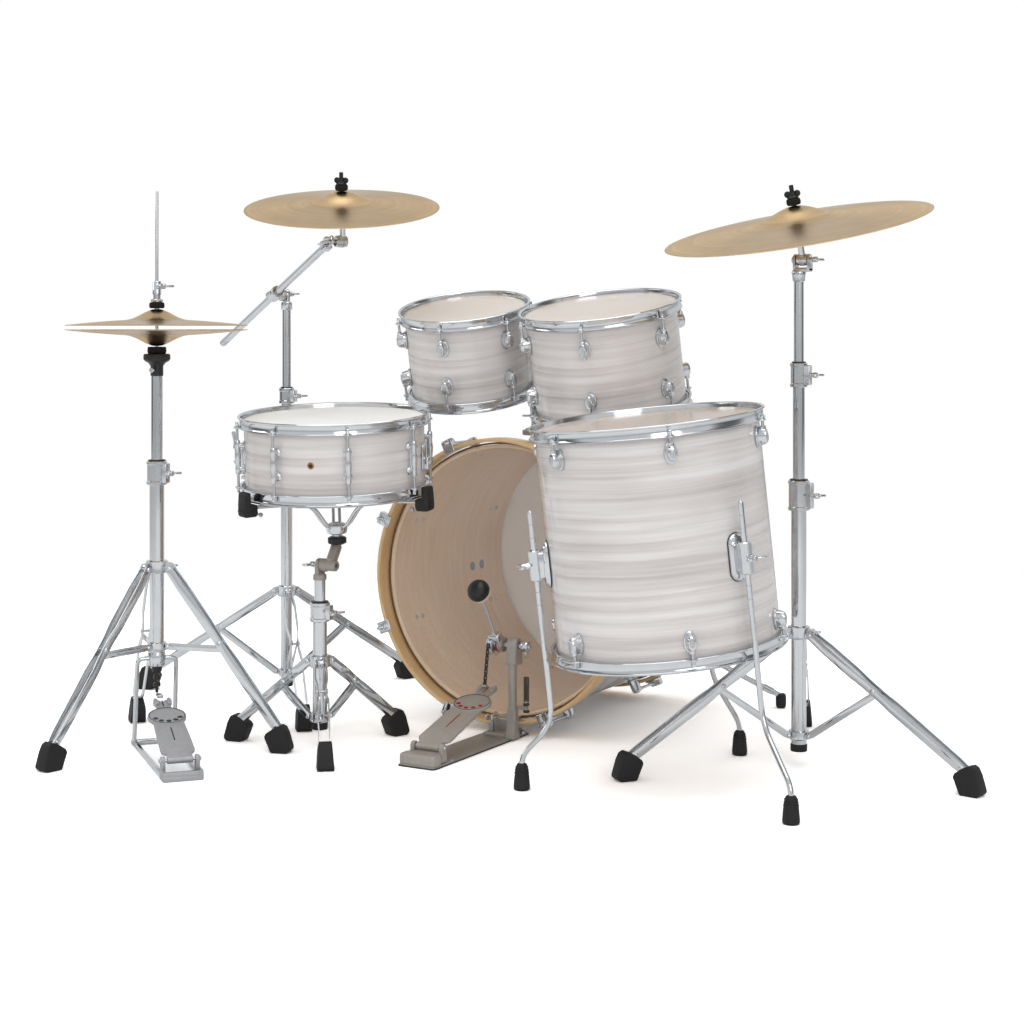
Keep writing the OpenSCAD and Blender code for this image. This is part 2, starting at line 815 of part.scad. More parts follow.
module cymbal_shape(d, bell_d, bow, bell_h, hole_d) {
    steps = 12;
    function plate(r) = bow * (1 - pow((r - bell_d / 2) / (d / 2 - bell_d / 2), 2));
    function bell(r) = bow + bell_h * (1 - pow(2 * r / bell_d, 2.6));
    function skin(r) = r < bell_d / 2 ? bell(r) : plate(r);
    radii = [for (i = [0 : 2 * steps]) i < steps
        ? hole_d / 2 + i * (bell_d - hole_d) / 2 / steps
        : bell_d / 2 + (i - steps) * (d - bell_d) / 2 / steps];
    rotate_extrude() polygon(concat(
        [for (r = radii) [r, skin(r)]],
        [for (i = [2 * steps : -1 : 0]) [radii[i], skin(radii[i]) - cymbal_t]]));
}

hat_bow = 12;
hat_bell_h = 20;

module hihat_upper_tube() {
    color("silver") on_pole(hat_stand) difference() {
        union() {
            translate([0, 0, 400]) cylinder(h = hat_seat_z - 400, d = middle_tube_d);
            translate([0, 0, hat_seat_z]) cylinder(h = 14, d1 = 46, d2 = 50);
            translate([0, 0, hat_seat_z + 14]) cylinder(h = 14, d = 36);
        }
        translate([0, 0, 399]) cylinder(h = 420, d = 9);
    }
}

module hihat_bottom_cymbal() {
    color("darkkhaki") on_pole(hat_stand) translate([0, 0, hat_edge_z])
        mirror([0, 0, 1]) cymbal_shape(hat_d, 90, hat_bow, hat_bell_h, 13);
}

module hihat_pull_rod() {
    color("silver") on_pole(hat_stand) {
        translate([0, 0, 205]) cylinder(h = hat_rod_top - 205, d = 6.4);
        // clutch with its felts and wing screw
        translate([0, 0, hat_edge_z + hat_gap + hat_bow + hat_bell_h + 1])
            cylinder(h = 12, d = 30);
        translate([0, 0, hat_edge_z + hat_gap + hat_bow + hat_bell_h + 13])
            cylinder(h = 42, d = 14);
        translate([0, 0, hat_edge_z + hat_gap + hat_bow + hat_bell_h - 14])
            cylinder(h = 16, d = 10);
        translate([6, 0, hat_edge_z + hat_gap + hat_bow + hat_bell_h + 45])
            wing_screw(14);
        translate([0, 0, hat_edge_z + hat_gap + hat_bow + hat_bell_h - 13])
            cylinder(h = 8, d = 24);
    }
}

module hihat_top_cymbal() {
    color("darkkhaki") on_pole(hat_stand)
        translate([0, 0, hat_edge_z + hat_gap])
            cymbal_shape(hat_d, 90, hat_bow, hat_bell_h, 13);
}

// ---- Crash stand ----

module crash_upper_tube() {
    color("silver") on_pole(crash_stand) {
        translate([0, 0, 520]) cylinder(h = crash_tube_top - 520, d = upper_tube_d);
        translate([0, 0, crash_tube_top - 12]) cylinder(h = 16, d = 24);
        // ear with the pin on which the boom clamp turns
        translate([0, 0, crash_clamp_z]) rotate([0, 0, boom_azimuth]) {
            translate([-10, -4, -22]) cube([20, 8, 34]);
            rotate([90, 0, 0]) translate([0, 0, -7]) cylinder(h = 25, d = pin_d);
        }
    }
}

// The clamp turns on the pin beside the pole and grips the boom
module in_boom_frame() {
    translate(boom_clamp_at) rotate([0, 0, boom_azimuth])
        rotate([0, -boom_rise, 0]) children();
}

module crash_boom_clamp() {
    color("silver") in_boom_frame() difference() {
        union() {
            rotate([90, 0, 0]) translate([0, 0, 4.5]) cylinder(h = 34, d = 30);
            translate([-17, -boom_side - 14, -14]) cube([34, 22, 28]);
        }
        rotate([90, 0, 0]) cylinder(h = 18.6, d = pin_bore_d);
        translate([-60, -boom_side - 4, 0]) rotate([0, 90, 0])
            cylinder(h = 120, d = boom_d + 2 * fit_gap);
    }
}

module crash_boom_arm() {
    color("silver") in_boom_frame()
        translate([0, -boom_side - 4, 0]) {
            translate([-boom_tail, 0, 0]) rotate([0, 90, 0])
                cylinder(h = boom_tail + boom_length - 14, d = boom_d);
            // fork for the tilter, brought back to the boom's centre plane
            translate([boom_length - 34, -9, -10]) cube([20, 18, 20]);
            translate([boom_length - 16, -4, -10]) cube([30, 5, 20]);
            translate([boom_length, boom_side + 4 - 6, 0]) rotate([90, 0, 0])
                cylinder(h = boom_side + 2, d = pin_d);
        }
}

// Tilter: barrel on the pin, threaded rod with felts through the cymbal
module tilter_head(drop, bow, bell_h) {
    top = bow + bell_h;
    cup = top - 16.5;
    translate([0, 0, -drop]) cylinder(h = cup + drop, d = 11);
    translate([0, 0, cup]) cylinder(h = 4, d = 32);
    translate([0, 0, cup + 4]) cylinder(h = 9, d = 26);
    cylinder(h = top + 40, d = 8.6);
    translate([0, 0, top + 2]) cylinder(h = 12, d = 26);
    translate([0, 0, top + 14]) cylinder(h = 14, d = 22);
    translate([0, 0, top + 28]) rotate([90, 0, 20]) translate([0, 3, -3])
        linear_extrude(6) pill(12, 16);
}

crash_bow = 14;
crash_bell_h = 22;
ride_bow = 18;
ride_bell_h = 24;

module crash_tilter() {
    color("silver") difference() {
        union() {
            translate(crash_at) rotate(crash_turn)
                tilter_head(crash_drop, crash_bow, crash_bell_h);
            in_boom_frame() translate([boom_length, 0, 0]) rotate([90, 0, 0])
                translate([0, 0, -8]) cylinder(h = 26, d = 24);
        }
        in_boom_frame() translate([boom_length, 1, 0]) rotate([90, 0, 0])
            cylinder(h = 60, d = pin_bore_d);
    }
}

module crash_cymbal() {
    color("darkkhaki") translate(crash_at) rotate(crash_turn)
        cymbal_shape(crash_d, 116, crash_bow, crash_bell_h, 12.5);
}

// ---- Ride stand ----

module ride_middle_tube() {
    color("silver") sliding_tube(ride_stand, 380, ride_collar[1],
        middle_tube_d, ride_collar, upper_tube_d);
}

module ride_upper_tube() {
    color("silver") {
        on_pole(ride_stand) {
            translate([0, 0, 600]) cylinder(h = ride_tube_top - 600, d = upper_tube_d);
            translate([0, 0, ride_tube_top - 14]) cylinder(h = 16, d = 24);
            translate([-8, -9, ride_tube_top]) cube([24, 18, 6]);
        }
        translate(ride_pivot) {
            for (s = [-1, 1]) translate([s * 14 - 2.5, -10, -22]) cube([5, 20, 33]);
            translate([-16, -10, -22]) cube([32, 20, 6]);
            translate([-17, 0, 0]) rotate([0, 90, 0]) cylinder(h = 34, d = pin_d);
            translate([17, 0, 0]) wing_screw(10);
        }
    }
}

module ride_tilter() {
    color("silver") difference() {
        union() {
            translate(ride_at) rotate(ride_turn)
                tilter_head(ride_drop, ride_bow, ride_bell_h);
            translate(ride_pivot - [10.5, 0, 0]) rotate([0, 90, 0])
                cylinder(h = 21, d = 22);
        }
        translate(ride_pivot - [15, 0, 0]) rotate([0, 90, 0])
            cylinder(h = 30, d = pin_bore_d);
    }
}

module ride_cymbal() {
    color("darkkhaki") translate(ride_at) rotate(ride_turn)
        cymbal_shape(ride_d, 132, ride_bow, ride_bell_h, 12.5);
}

// ---- Snare stand ----

elbow_at = [snare_stand[0].x, snare_stand[0].y, snare_elbow_z];
basket_z = -2 * head_drop - snare_depth - 70;
grip_first = 246;
grip_r = snare_d / 2 + 18;

// Tube that slides in the base, with the ear for the basket's tilter
module snare_upper_tube() {
    color("silver") {
        on_pole(snare_stand) {
            translate([0, 0, 150]) cylinder(h = snare_elbow_z - 168, d = middle_tube_d);
            translate([-4, -12, snare_elbow_z - 22]) cube([8, 24, 36]);
        }
        translate(elbow_at) translate([-10, 0, 0]) rotate([0, 90, 0])
            cylinder(h = 30, d = pin_d);
        translate(elbow_at + [-10, 0, 0]) mirror([1, 0, 0]) wing_screw(10);
    }
}

// Basket: tilter block, stem, hub and three arms that hold the lower hoop
module snare_basket() {
    color("silver") {
        difference() {
            union() {
                translate(elbow_at + [4.6, 0, 0]) rotate([0, 90, 0])
                    cylinder(h = 36, d = 26);
                bar(elbow_at + [26, 0, 4], snare_point([0, 0, basket_z - 34]),
                    20, 18);
            }
            translate(elbow_at - [2, 0, 0]) rotate([0, 90, 0])
                cylinder(h = 24, d = pin_bore_d);
        }
        at_snare() {
            translate([0, 0, basket_z - 44]) cylinder(h = 46, d = 16);
            translate([0, 0, basket_z - 12]) cylinder(h = 20, d = 40);
            for (i = [0 : 2]) rotate([0, 0, grip_first + i * 120]) {
                rod([12, 0, basket_z - 3], [grip_r, 0, basket_z + 52], 9);
                difference() {
                    translate([grip_r - 14, -13, basket_z + 44])
                        cube([30, 26, 48]);
                    // notch for the drum's lower hoop
                    translate([grip_r - 60, -20, basket_z + 44 + 24])
                        cube([60, 40, 60]);
                }
            }
        }
    }
}

// ---- Kick pedal ----

kick_board = norm([kick_toe.y - kick_hinge.y, kick_toe.z - kick_hinge.z]);
kick_board_rise = atan2(kick_toe.z - kick_hinge.z, kick_toe.y - kick_hinge.y);

module kick_pedal_frame() {
    color("gray") {
        // base plate and heel block with the hinge pin
        translate([kick_x - 44, -330, 0]) cube([88, 366, 4]);
        translate([kick_x, kick_hinge.y, kick_hinge.z]) rotate([0, 90, 0])
            translate([0, 0, -34]) cylinder(h = 68, d = hinge_pin_d);
        translate([kick_x - 40, -322, 3]) cube([80, 44, 12]);
        for (s = [-1, 1])
            translate([kick_x + s * 32 - 4, -294, 8]) cube([8, 18, 30]);
        // post, axle housing and hoop clamp
        translate([kick_x + kick_post_x - 9, -42, 3]) cube([18, 26, 150]);
        difference() {
            union() {
                translate([kick_x + kick_post_x - 11, -38, 150])
                    cube([22, 32, 56]);
            }
            translate([kick_x, kick_axle.y, kick_axle.z]) rotate([0, 90, 0])
                cylinder(h = 90, d = 15);
        }
        // jaws that grip the wooden hoop
        translate([kick_x - 26, -40, 3]) cube([52, 76, 9.5]);
        translate([kick_x - 22, -12, 3]) cube([44, 20, 34]);
        translate([kick_x - 22, -12, 27]) cube([44, 48, 10]);
    }
}

module pedal_spring() {
    color("dimgray") {
        translate([kick_x + kick_post_x + 28, kick_axle.y, 78])
            cylinder(h = 52, d = 11);
        translate([kick_x + kick_post_x + 28, kick_axle.y, 66])
            cylinder(h = 14, d = 5);
        translate([kick_x + kick_post_x + 9 + fit_gap, kick_axle.y - 4, 62])
            cube([22, 8, 8]);
    }
}

module kick_footboard() {
    color("darkgray") translate(kick_hinge) rotate([0, 0, 90])
        rotate([0, -kick_board_rise, 0])
            footboard(kick_board, 50, 30, 80);
}

// Axle with the cam, rocker and spring arm, and the beater on its shaft
module kick_beater() {
    color("dimgray") {
        translate([kick_x - 12, kick_axle.y, kick_axle.z]) rotate([0, 90, 0])
            cylinder(h = 84, d = 13.9);
        translate([kick_x - 18, kick_axle.y, kick_axle.z]) rotate([0, 90, 0]) {
            cylinder(h = 34, d = 28);
            translate([0, 0, 2]) cylinder(h = 14, d = 2 * kick_cam_r);
        }
        translate([kick_x + kick_post_x + 20, kick_axle.y, kick_axle.z])
            rotate([0, 90, 0]) cylinder(h = 14, d = 22);
        rod(kick_axle, kick_ball, 8);
        translate(kick_ball) sphere(d = 46);
    }
}

// ---- Assembly ----

translate(origin_shift) {
    bass_shell();
    bass_heads();
    bass_hoop_batter();
    bass_hoop_front();
    bass_fittings();
    leg_brackets();
    tom_holder();
    floor_tom_shell();
    floor_tom_heads();
    floor_tom_hoops();
    floor_tom_fittings();
    hihat_base_tube();
    crash_base_tube();
    ride_base_tube();
    snare_base_tube();
    tripod_legs();
    tripod_braces();
    rubber_feet();
    hihat_pedal_frame();
    kick_pedal_frame();
    pedal_spring();
    spur_left();
    spur_right();
    tom_post_small();
    tom_post_large();
    small_tom_shell();
    small_tom_heads();
    small_tom_hoops();
    small_tom_fittings();
    large_tom_shell();
    large_tom_heads();
    large_tom_hoops();
    large_tom_fittings();
    floor_leg_left();
    floor_leg_right();
    floor_leg_back();
    snare_shell();
    snare_heads();
    snare_hoops();
    snare_fittings();
    snare_wires();
    snare_throw_lever();
    snare_upper_tube();
    snare_basket();
    hihat_footboard();
    hihat_upper_tube();
    hihat_bottom_cymbal();
    hihat_pull_rod();
    hihat_top_cymbal();
    crash_upper_tube();
    crash_boom_clamp();
    crash_boom_arm();
    crash_tilter();
    crash_cymbal();
    ride_middle_tube();
    ride_upper_tube();
    ride_tilter();
    ride_cymbal();
    kick_footboard();
    kick_beater();
}
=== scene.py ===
# %% [markdown]
# # An acoustic drum kit
# The frame already holds every part at its real size and moves it, so this
# notebook only dresses the parts: each real piece is built again with its
# rims, folds, screws and finish. Lengths are written in millimetres, as on a
# workshop drawing, and each finished mesh is scaled to metres once.

# %% Load the frame
import json
import math

import bmesh
import bpy
from mathutils import Euler, Matrix, Vector


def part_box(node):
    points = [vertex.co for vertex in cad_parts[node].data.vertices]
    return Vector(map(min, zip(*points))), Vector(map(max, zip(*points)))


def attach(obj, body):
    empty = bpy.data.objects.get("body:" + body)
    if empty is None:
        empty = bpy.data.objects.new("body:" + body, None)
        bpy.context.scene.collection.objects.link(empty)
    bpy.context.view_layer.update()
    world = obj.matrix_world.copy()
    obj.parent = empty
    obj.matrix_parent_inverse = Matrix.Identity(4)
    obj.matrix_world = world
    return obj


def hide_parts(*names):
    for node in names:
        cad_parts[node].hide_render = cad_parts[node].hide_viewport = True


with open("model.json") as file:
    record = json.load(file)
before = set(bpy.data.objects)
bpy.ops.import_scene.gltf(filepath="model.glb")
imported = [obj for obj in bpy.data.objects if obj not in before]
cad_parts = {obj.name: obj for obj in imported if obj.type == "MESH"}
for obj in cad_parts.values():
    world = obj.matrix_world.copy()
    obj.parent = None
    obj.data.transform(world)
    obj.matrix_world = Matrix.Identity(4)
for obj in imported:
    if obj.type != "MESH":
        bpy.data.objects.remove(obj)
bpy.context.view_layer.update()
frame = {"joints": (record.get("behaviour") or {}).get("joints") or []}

MM = 0.001

# %% [markdown]
# ## Camera
# A kit is looked at from behind the drummer's right shoulder here. The camera
# stands level at chest height and is not pitched, so that poles stay upright
# in the picture; the lens is shifted down instead, as an architectural
# photographer would do it.

# %% Camera
VIEW_TURN = math.radians(30)
CAMERA_SPOT = Vector((1915.8, -3212.7, 834.0)) * MM
camera_data = bpy.data.cameras.new("camera")
camera_data.sensor_width = 36.0
camera_data.lens = 65.74
camera_data.shift_y = -0.1816
camera = bpy.data.objects.new("camera", camera_data)
camera.location = CAMERA_SPOT
camera.rotation_euler = (math.radians(90), 0, VIEW_TURN)
bpy.context.scene.collection.objects.link(camera)
bpy.context.scene.camera = camera

# %% [markdown]
# ## Floor, sky and lamps
# Chrome shows only what stands around it. A plain white room would make it
# flat, so the room is white above the horizon and dark grey below it, and two
# dark flags stand on opposite sides: the tubes then get the dark edges that
# make them read as metal. What the camera sees directly stays white, and the
# picture is shown without a film curve, so that white comes out as white.

# %% Room
PAPER_WHITE = 1.0     # strength of what the camera sees directly
WALL_LIGHT = 0.72
BAND_TURN = -2.4      # where the two dark flags stand round the room, in radians


def make_room():
    bpy.context.scene.view_settings.view_transform = "Standard"
    world = bpy.data.worlds.new("studio")
    world.use_nodes = True
    bpy.context.scene.world = world
    tree = world.node_tree
    tree.nodes.clear()
    out = tree.nodes.new("ShaderNodeOutputWorld")
    paper = tree.nodes.new("ShaderNodeBackground")
    paper.inputs["Color"].default_value = (1, 1, 1, 1)
    paper.inputs["Strength"].default_value = PAPER_WHITE
    walls = tree.nodes.new("ShaderNodeBackground")
    walls.inputs["Strength"].default_value = WALL_LIGHT
    spot = tree.nodes.new("ShaderNodeTexCoord")
    parts = tree.nodes.new("ShaderNodeSeparateXYZ")
    ramp = tree.nodes.new("ShaderNodeValToRGB")
    bands = tree.nodes.new("ShaderNodeValToRGB")
    by_height = ((0.0, 0.10), (0.44, 0.24), (0.50, 0.86), (0.58, 1.0), (1.0, 1.0))
    by_turn = ((0.0, 0.20), (0.05, 0.30), (0.18, 1.0), (1.0, 1.0))
    for node, stops in ((ramp, by_height), (bands, by_turn)):
        while len(node.color_ramp.elements) < len(stops):
            node.color_ramp.elements.new(0.5)
        for element, (place, grey) in zip(node.color_ramp.elements, stops):
            element.position = place
            element.color = (grey, grey, grey, 1)

    def sum_node(kind, first, second=None, third=None):
        made = tree.nodes.new("ShaderNodeMath")
        made.operation = kind
        for socket, value in zip(made.inputs, (first, second, third)):
            if isinstance(value, float):
                socket.default_value = value
            elif value:
                tree.links.new(value, socket)
        return made.outputs[0]

    path = tree.nodes.new("ShaderNodeLightPath")
    pick = tree.nodes.new("ShaderNodeMixShader")
    link = tree.links.new
    link(spot.outputs["Generated"], parts.inputs[0])
    link(sum_node("MULTIPLY_ADD", parts.outputs["Z"], 0.5, 0.5), ramp.inputs[0])
    turn = sum_node("ARCTAN2", parts.outputs["Y"], parts.outputs["X"])
    wave = sum_node("SINE", sum_node("MULTIPLY_ADD", turn, 2.0, BAND_TURN))
    link(sum_node("MULTIPLY_ADD", wave, 0.5, 0.5), bands.inputs[0])
    both = sum_node("MULTIPLY", ramp.outputs[0], bands.outputs[0])
    link(both, walls.inputs["Color"])
    link(path.outputs["Is Camera Ray"], pick.inputs[0])
    link(walls.outputs[0], pick.inputs[1])
    link(paper.outputs[0], pick.inputs[2])
    link(pick.outputs[0], out.inputs["Surface"])


def make_lamp(name, spot, aim, size, power, height=None):
    light = bpy.data.lights.new(name, "AREA")
    light.shape = "RECTANGLE"
    light.size = size
    light.size_y = height or size
    light.energy = power
    lamp = bpy.data.objects.new(name, light)
    lamp.location = spot
    lamp.rotation_euler = (Vector(aim) - Vector(spot)).to_track_quat("-Z", "Y").to_euler()
    bpy.context.scene.collection.objects.link(lamp)


def make_floor():
    floor_mesh = bmesh.new()
    bmesh.ops.create_grid(floor_mesh, x_segments=1, y_segments=1, size=9.0)
    data = bpy.data.meshes.new("studio_floor")
    floor_mesh.to_mesh(data)
    floor_mesh.free()
    floor = bpy.data.objects.new("studio_floor", data)
    bpy.context.scene.collection.objects.link(floor)
    return floor


make_room()
make_lamp("top_light", (0.3, -0.5, 3.6), (0, 0, 0.4), 3.4, 54)
make_lamp("front_light", (3.4, -3.4, 2.2), (0, 0, 0.5), 2.2, 32)
make_lamp("left_light", (-3.2, -1.4, 2.0), (0, 0, 0.6), 1.6, 18)
studio_floor = make_floor()

# %% [markdown]
# ## Finishes
# Every finish is made of shader nodes. `Value` wraps one socket so that node
# maths reads as plain arithmetic, and `Finish` makes a material and hands out
# its nodes.

# %% A small shader language
class Value:
    """A number socket that Python's operators work on."""

    def __init__(self, finish, socket):
        self.finish = finish
        self.socket = socket

    def math(self, operation, other=None, swap=False):
        first, second = (other, self) if swap else (self, other)
        inputs = {0: first}
        if second is not None:
            inputs[1] = second
        return self.finish.node("ShaderNodeMath", {"operation": operation}, inputs)

    def __add__(self, other):
        return self.math("ADD", other)

    def __sub__(self, other):
        return self.math("SUBTRACT", other)

    def __rsub__(self, other):
        return self.math("SUBTRACT", other, swap=True)

    def __mul__(self, other):
        return self.math("MULTIPLY", other)

    def __truediv__(self, other):
        return self.math("DIVIDE", other)

    def __gt__(self, other):
        return self.math("GREATER_THAN", other)

    def __lt__(self, other):
        return self.math("LESS_THAN", other)

    __radd__ = __add__
    __rmul__ = __mul__


class Finish:
    """One material. Its surface sockets are set with `surface`."""

    def __init__(self, name):
        self.material = bpy.data.materials.new(name)
        self.material.use_nodes = True
        self.tree = self.material.node_tree
        self.tree.nodes.clear()
        self.output = self.tree.nodes.new("ShaderNodeOutputMaterial")
        self.shader = self.tree.nodes.new("ShaderNodeBsdfPrincipled")
        self.tree.links.new(self.shader.outputs[0], self.output.inputs["Surface"])

    def put(self, socket, value):
        if isinstance(value, Value):
            self.tree.links.new(value.socket, socket)
        elif isinstance(value, bpy.types.NodeSocket):
            self.tree.links.new(value, socket)
        else:
            socket.default_value = value

    def node(self, kind, settings=None, inputs=None, output=0):
        made = self.tree.nodes.new(kind)
        for key, value in (settings or {}).items():
            if key == "stops":
                self.set_stops(made.color_ramp, value)
            else:
                setattr(made, key, value)
        for key, value in (inputs or {}).items():
            self.put(made.inputs[key], value)
        return Value(self, made.outputs[output])

    @staticmethod
    def set_stops(ramp, stops):
        while len(ramp.elements) < len(stops):
            ramp.elements.new(0.5)
        for element, (place, colour) in zip(ramp.elements, stops):
            element.position = place
            element.color = (*colour, 1)

    def surface(self, **sockets):
        for name, value in sockets.items():
            self.put(self.shader.inputs[name.replace("_", " ").title()], value)
        return self.material

    def place(self, stretch=(1, 1, 1), centre=(0, 0, 0), turn=(0, 0, 0)):
        """Object coordinates about a centre, unturned, then stretched."""
        spot = self.tree.nodes.new("ShaderNodeTexCoord").outputs["Object"]
        own = self.node("ShaderNodeMapping", {"vector_type": "TEXTURE"},
                        {"Vector": spot, "Location": centre, "Rotation": turn})
        return self.node("ShaderNodeMapping", {"vector_type": "POINT"},
                         {"Vector": own, "Scale": stretch})

    def parts(self, vector):
        split = self.tree.nodes.new("ShaderNodeSeparateXYZ")
        self.put(split.inputs[0], vector)
        return [Value(self, split.outputs[i]) for i in range(3)]

    def noise(self, vector, scale, detail=3.0, roughness=0.5, distortion=0.0):
        return self.node("ShaderNodeTexNoise", {},
                         {"Vector": vector, "Scale": scale, "Detail": detail,
                          "Roughness": roughness, "Distortion": distortion})

    def ramp(self, value, *stops):
        return self.node("ShaderNodeValToRGB", {"stops": stops}, {0: value})

    def mix(self, factor, first, second, blend="MIX"):
        made = self.tree.nodes.new("ShaderNodeMix")
        made.data_type = "RGBA"
        made.blend_type = blend
        self.put(made.inputs[0], factor)
        for socket, value in ((made.inputs[6], first), (made.inputs[7], second)):
            self.put(socket, (*value, 1) if isinstance(value, tuple) else value)
        return Value(self, made.outputs[2])

    def grey(self, value, low, high):
        """A 0 to 1 value carried to low to high."""
        return value * (high - low) + low

    def bump(self, height, strength, depth):
        return self.node("ShaderNodeBump", {},
                         {"Height": height, "Strength": strength, "Distance": depth})


def rgb(code):
    """Linear colour of a six-digit sRGB code."""
    levels = [int(code[i:i + 2], 16) / 255 for i in (0, 2, 4)]
    return tuple(v / 12.92 if v < 0.04045 else ((v + 0.055) / 1.055) ** 2.4 for v in levels)


# %% [markdown]
# Chrome is nearly a mirror. Its base colour stays almost white, and a faint
# noise in the roughness gives the soft bloom of handled plating.

# %% Plain metals, rubber and plastic
def chrome(name, tone="DEE1E4", rough=0.06):
    f = Finish(name)
    cloud = f.noise(f.place(), 24.0)
    smear = f.noise(f.place((1, 1, 0.2)), 300.0)
    return f.surface(base_color=f.mix(cloud, rgb(tone), rgb("CCD0D4")), metallic=1.0,
                     roughness=f.grey(cloud, rough, rough + 0.06) + smear * 0.03)


def grained(name, dark, light, rough, scale, depth, metal=0.0, coat=0.0):
    """Moulded, painted or cast surface: two tones and a fine grain."""
    f = Finish(name)
    spots = f.noise(f.place(), scale, detail=6.0, roughness=0.62)
    patches = f.noise(f.place(), scale / 14, detail=2.0)
    tone = f.mix(patches * 0.6 + spots * 0.4, rgb(dark), rgb(light))
    return f.surface(base_color=tone, metallic=metal, coat_weight=coat,
                     roughness=f.grey(spots, rough - 0.06, rough + 0.08),
                     normal=f.bump(spots, 0.35, depth))


CHROME = chrome("chrome")
STEEL = chrome("dull_steel", "B9BBBE", 0.24)
CAST = grained("cast_grey", "948D85", "B4ADA5", 0.42, 900.0, 0.0002, metal=0.35)
RUBBER = grained("black_rubber", "0B0B0C", "1A1A1C", 0.62, 1400.0, 0.0002)
BLACK = grained("black_plastic", "101011", "1B1B1D", 0.34, 1800.0, 0.0001)
FELT = grained("black_felt", "0A0A0A", "1C1B1A", 0.92, 2600.0, 0.0006)
RED = grained("red_rubber", "8E1515", "B32222", 0.45, 1200.0, 0.0001)
CREAM = grained("cream_felt", "D8CDB6", "EAE2D0", 0.9, 2200.0, 0.0005)
BRASS = grained("brass_eyelet", "8C6A3C", "B08D57", 0.25, 1500.0, 0.0001, metal=1.0)

# %% [markdown]
# The wrap is a pearl film: thin strips of pale, slightly different greys that
# run round the shell, each strip soft at its edges and broken along its
# length. A noise stretched round the drum gives the strips, a second slower
# one breaks them up, and a clear coat gives the gloss. Each drum needs its own
# copy, because the strips run round that drum's own tilted axis.

# %% Pearl wrap and drum wood
def pearl(name, centre, turn):
    f = Finish(name)
    own = f.place((1, 1, 1), centre, turn)
    sway = f.noise(own, 3.1, detail=2.0)
    x, y, z = f.parts(own)
    strips_at = f.node("ShaderNodeCombineXYZ", {}, {0: x * 1.6, 1: y * 1.6, 2: z * 66 + sway * 1.0})
    strips = f.noise(strips_at, 1.0, detail=2.5, roughness=0.55)
    fine_at = f.node("ShaderNodeCombineXYZ", {}, {0: x * 3.4, 1: y * 3.4, 2: z * 230 + sway * 2})
    fine = f.noise(fine_at, 1.0, detail=2.0)
    patches = f.noise(f.place((1, 1, 4.5), centre, turn), 4.6, detail=1.5)
    level = strips * 0.62 + fine * 0.16 + patches * 0.30
    tone = f.ramp(level, (0.30, rgb("B7B0AE")), (0.43, rgb("CEC8C6")),
                  (0.54, rgb("DDD8D6")), (0.66, rgb("ECE9E8")))
    return f.surface(base_color=tone, roughness=f.grey(strips, 0.22, 0.34), coat_weight=0.85)


def lacquered_wood(name, dark, light, stretch, scale=9.0, centre=(0, 0, 0), turn=(0, 0, 0)):
    """Wood whose grain is long across the axis that `stretch` makes short."""
    f = Finish(name)
    own = f.place(stretch, centre, turn)
    grain = f.noise(own, scale, detail=6.0, roughness=0.65, distortion=0.4)
    pores = f.noise(own, scale * 9, detail=3.0)
    cloud = f.noise(f.place((1, 1, 1), centre, turn), 5.0)
    level = grain * 0.62 + pores * 0.05 + cloud * 0.36
    tone = f.ramp(level, (0.34, rgb(dark)), (0.68, rgb(light)))
    return f.surface(base_color=tone, roughness=f.grey(grain, 0.26, 0.40), coat_weight=0.35,
                     normal=f.bump(grain, 0.08, 0.0003))


MAPLE = lacquered_wood("maple_hoop", "DDB074", "F6DAAC", (2, 26, 2), 6.0)
INNER = lacquered_wood("inner_ply", "F0CCA4", "FFE8CC", (2, 14, 2), 5.0)

# %% [markdown]
# Heads are polyester film. The coated ones are white and slightly sandy, the
# clear ones are mostly alpha with a hard gloss, so the wood inside shows.

# %% Drum heads
def film(name, tone, alpha, rough, sand):
    f = Finish(name)
    speckle = f.noise(f.place(), 1500.0, detail=4.0)
    cloud = f.noise(f.place(), 7.0, detail=2.0)
    return f.surface(base_color=f.mix(cloud, rgb(tone), rgb("FFFFFF")), alpha=alpha,
                     roughness=f.grey(speckle, rough, rough + 0.08),
                     normal=f.bump(speckle, sand, 0.00012))


COATED = film("coated_film", "EDEDEA", 1.0, 0.52, 0.5)
SMOOTH_WHITE = film("smooth_white_film", "F5F3F0", 0.76, 0.16, 0.02)
CLEAR = film("clear_film", "FBF1E6", 0.28, 0.05, 0.02)
HAZY = film("hazy_film", "F8F2E8", 0.48, 0.10, 0.03)

# %% [markdown]
# A cymbal is hammered, then turned on a lathe, which leaves thousands of fine
# rings. The rings are a bump on the distance from the cymbal's own axis, and
# anisotropy on the shader stretches every highlight across them, which gives
# the bright fans that cymbals show.

# %% Bronze
def bronze(name, centre, turn):
    f = Finish(name)
    x, y = f.parts(f.place((1, 1, 1), centre, turn))[:2]
    radius = (x * x + y * y).math("SQRT")
    rings_at = f.node("ShaderNodeCombineXYZ", {}, {0: radius * 1400})
    rings = f.noise(rings_at, 1.0, detail=3.0, roughness=0.7)
    bands_at = f.node("ShaderNodeCombineXYZ", {}, {0: radius * 95})
    bands = f.noise(bands_at, 1.0, detail=2.0)
    hammer = f.noise(f.place((1, 1, 1), centre, turn), 26.0, detail=1.0)
    tone = f.ramp(bands * 0.6 + rings * 0.25 + hammer * 0.2, (0.30, rgb("B8996C")),
                  (0.52, rgb("C8AB80")), (0.74, rgb("D6BD94")))
    f.shader.inputs["Anisotropic"].default_value = 0.75
    return f.surface(base_color=tone, metallic=1.0, roughness=f.grey(bands, 0.28, 0.34),
                     normal=f.bump(rings * 0.8 + hammer * 0.2, 0.16, 0.0004))


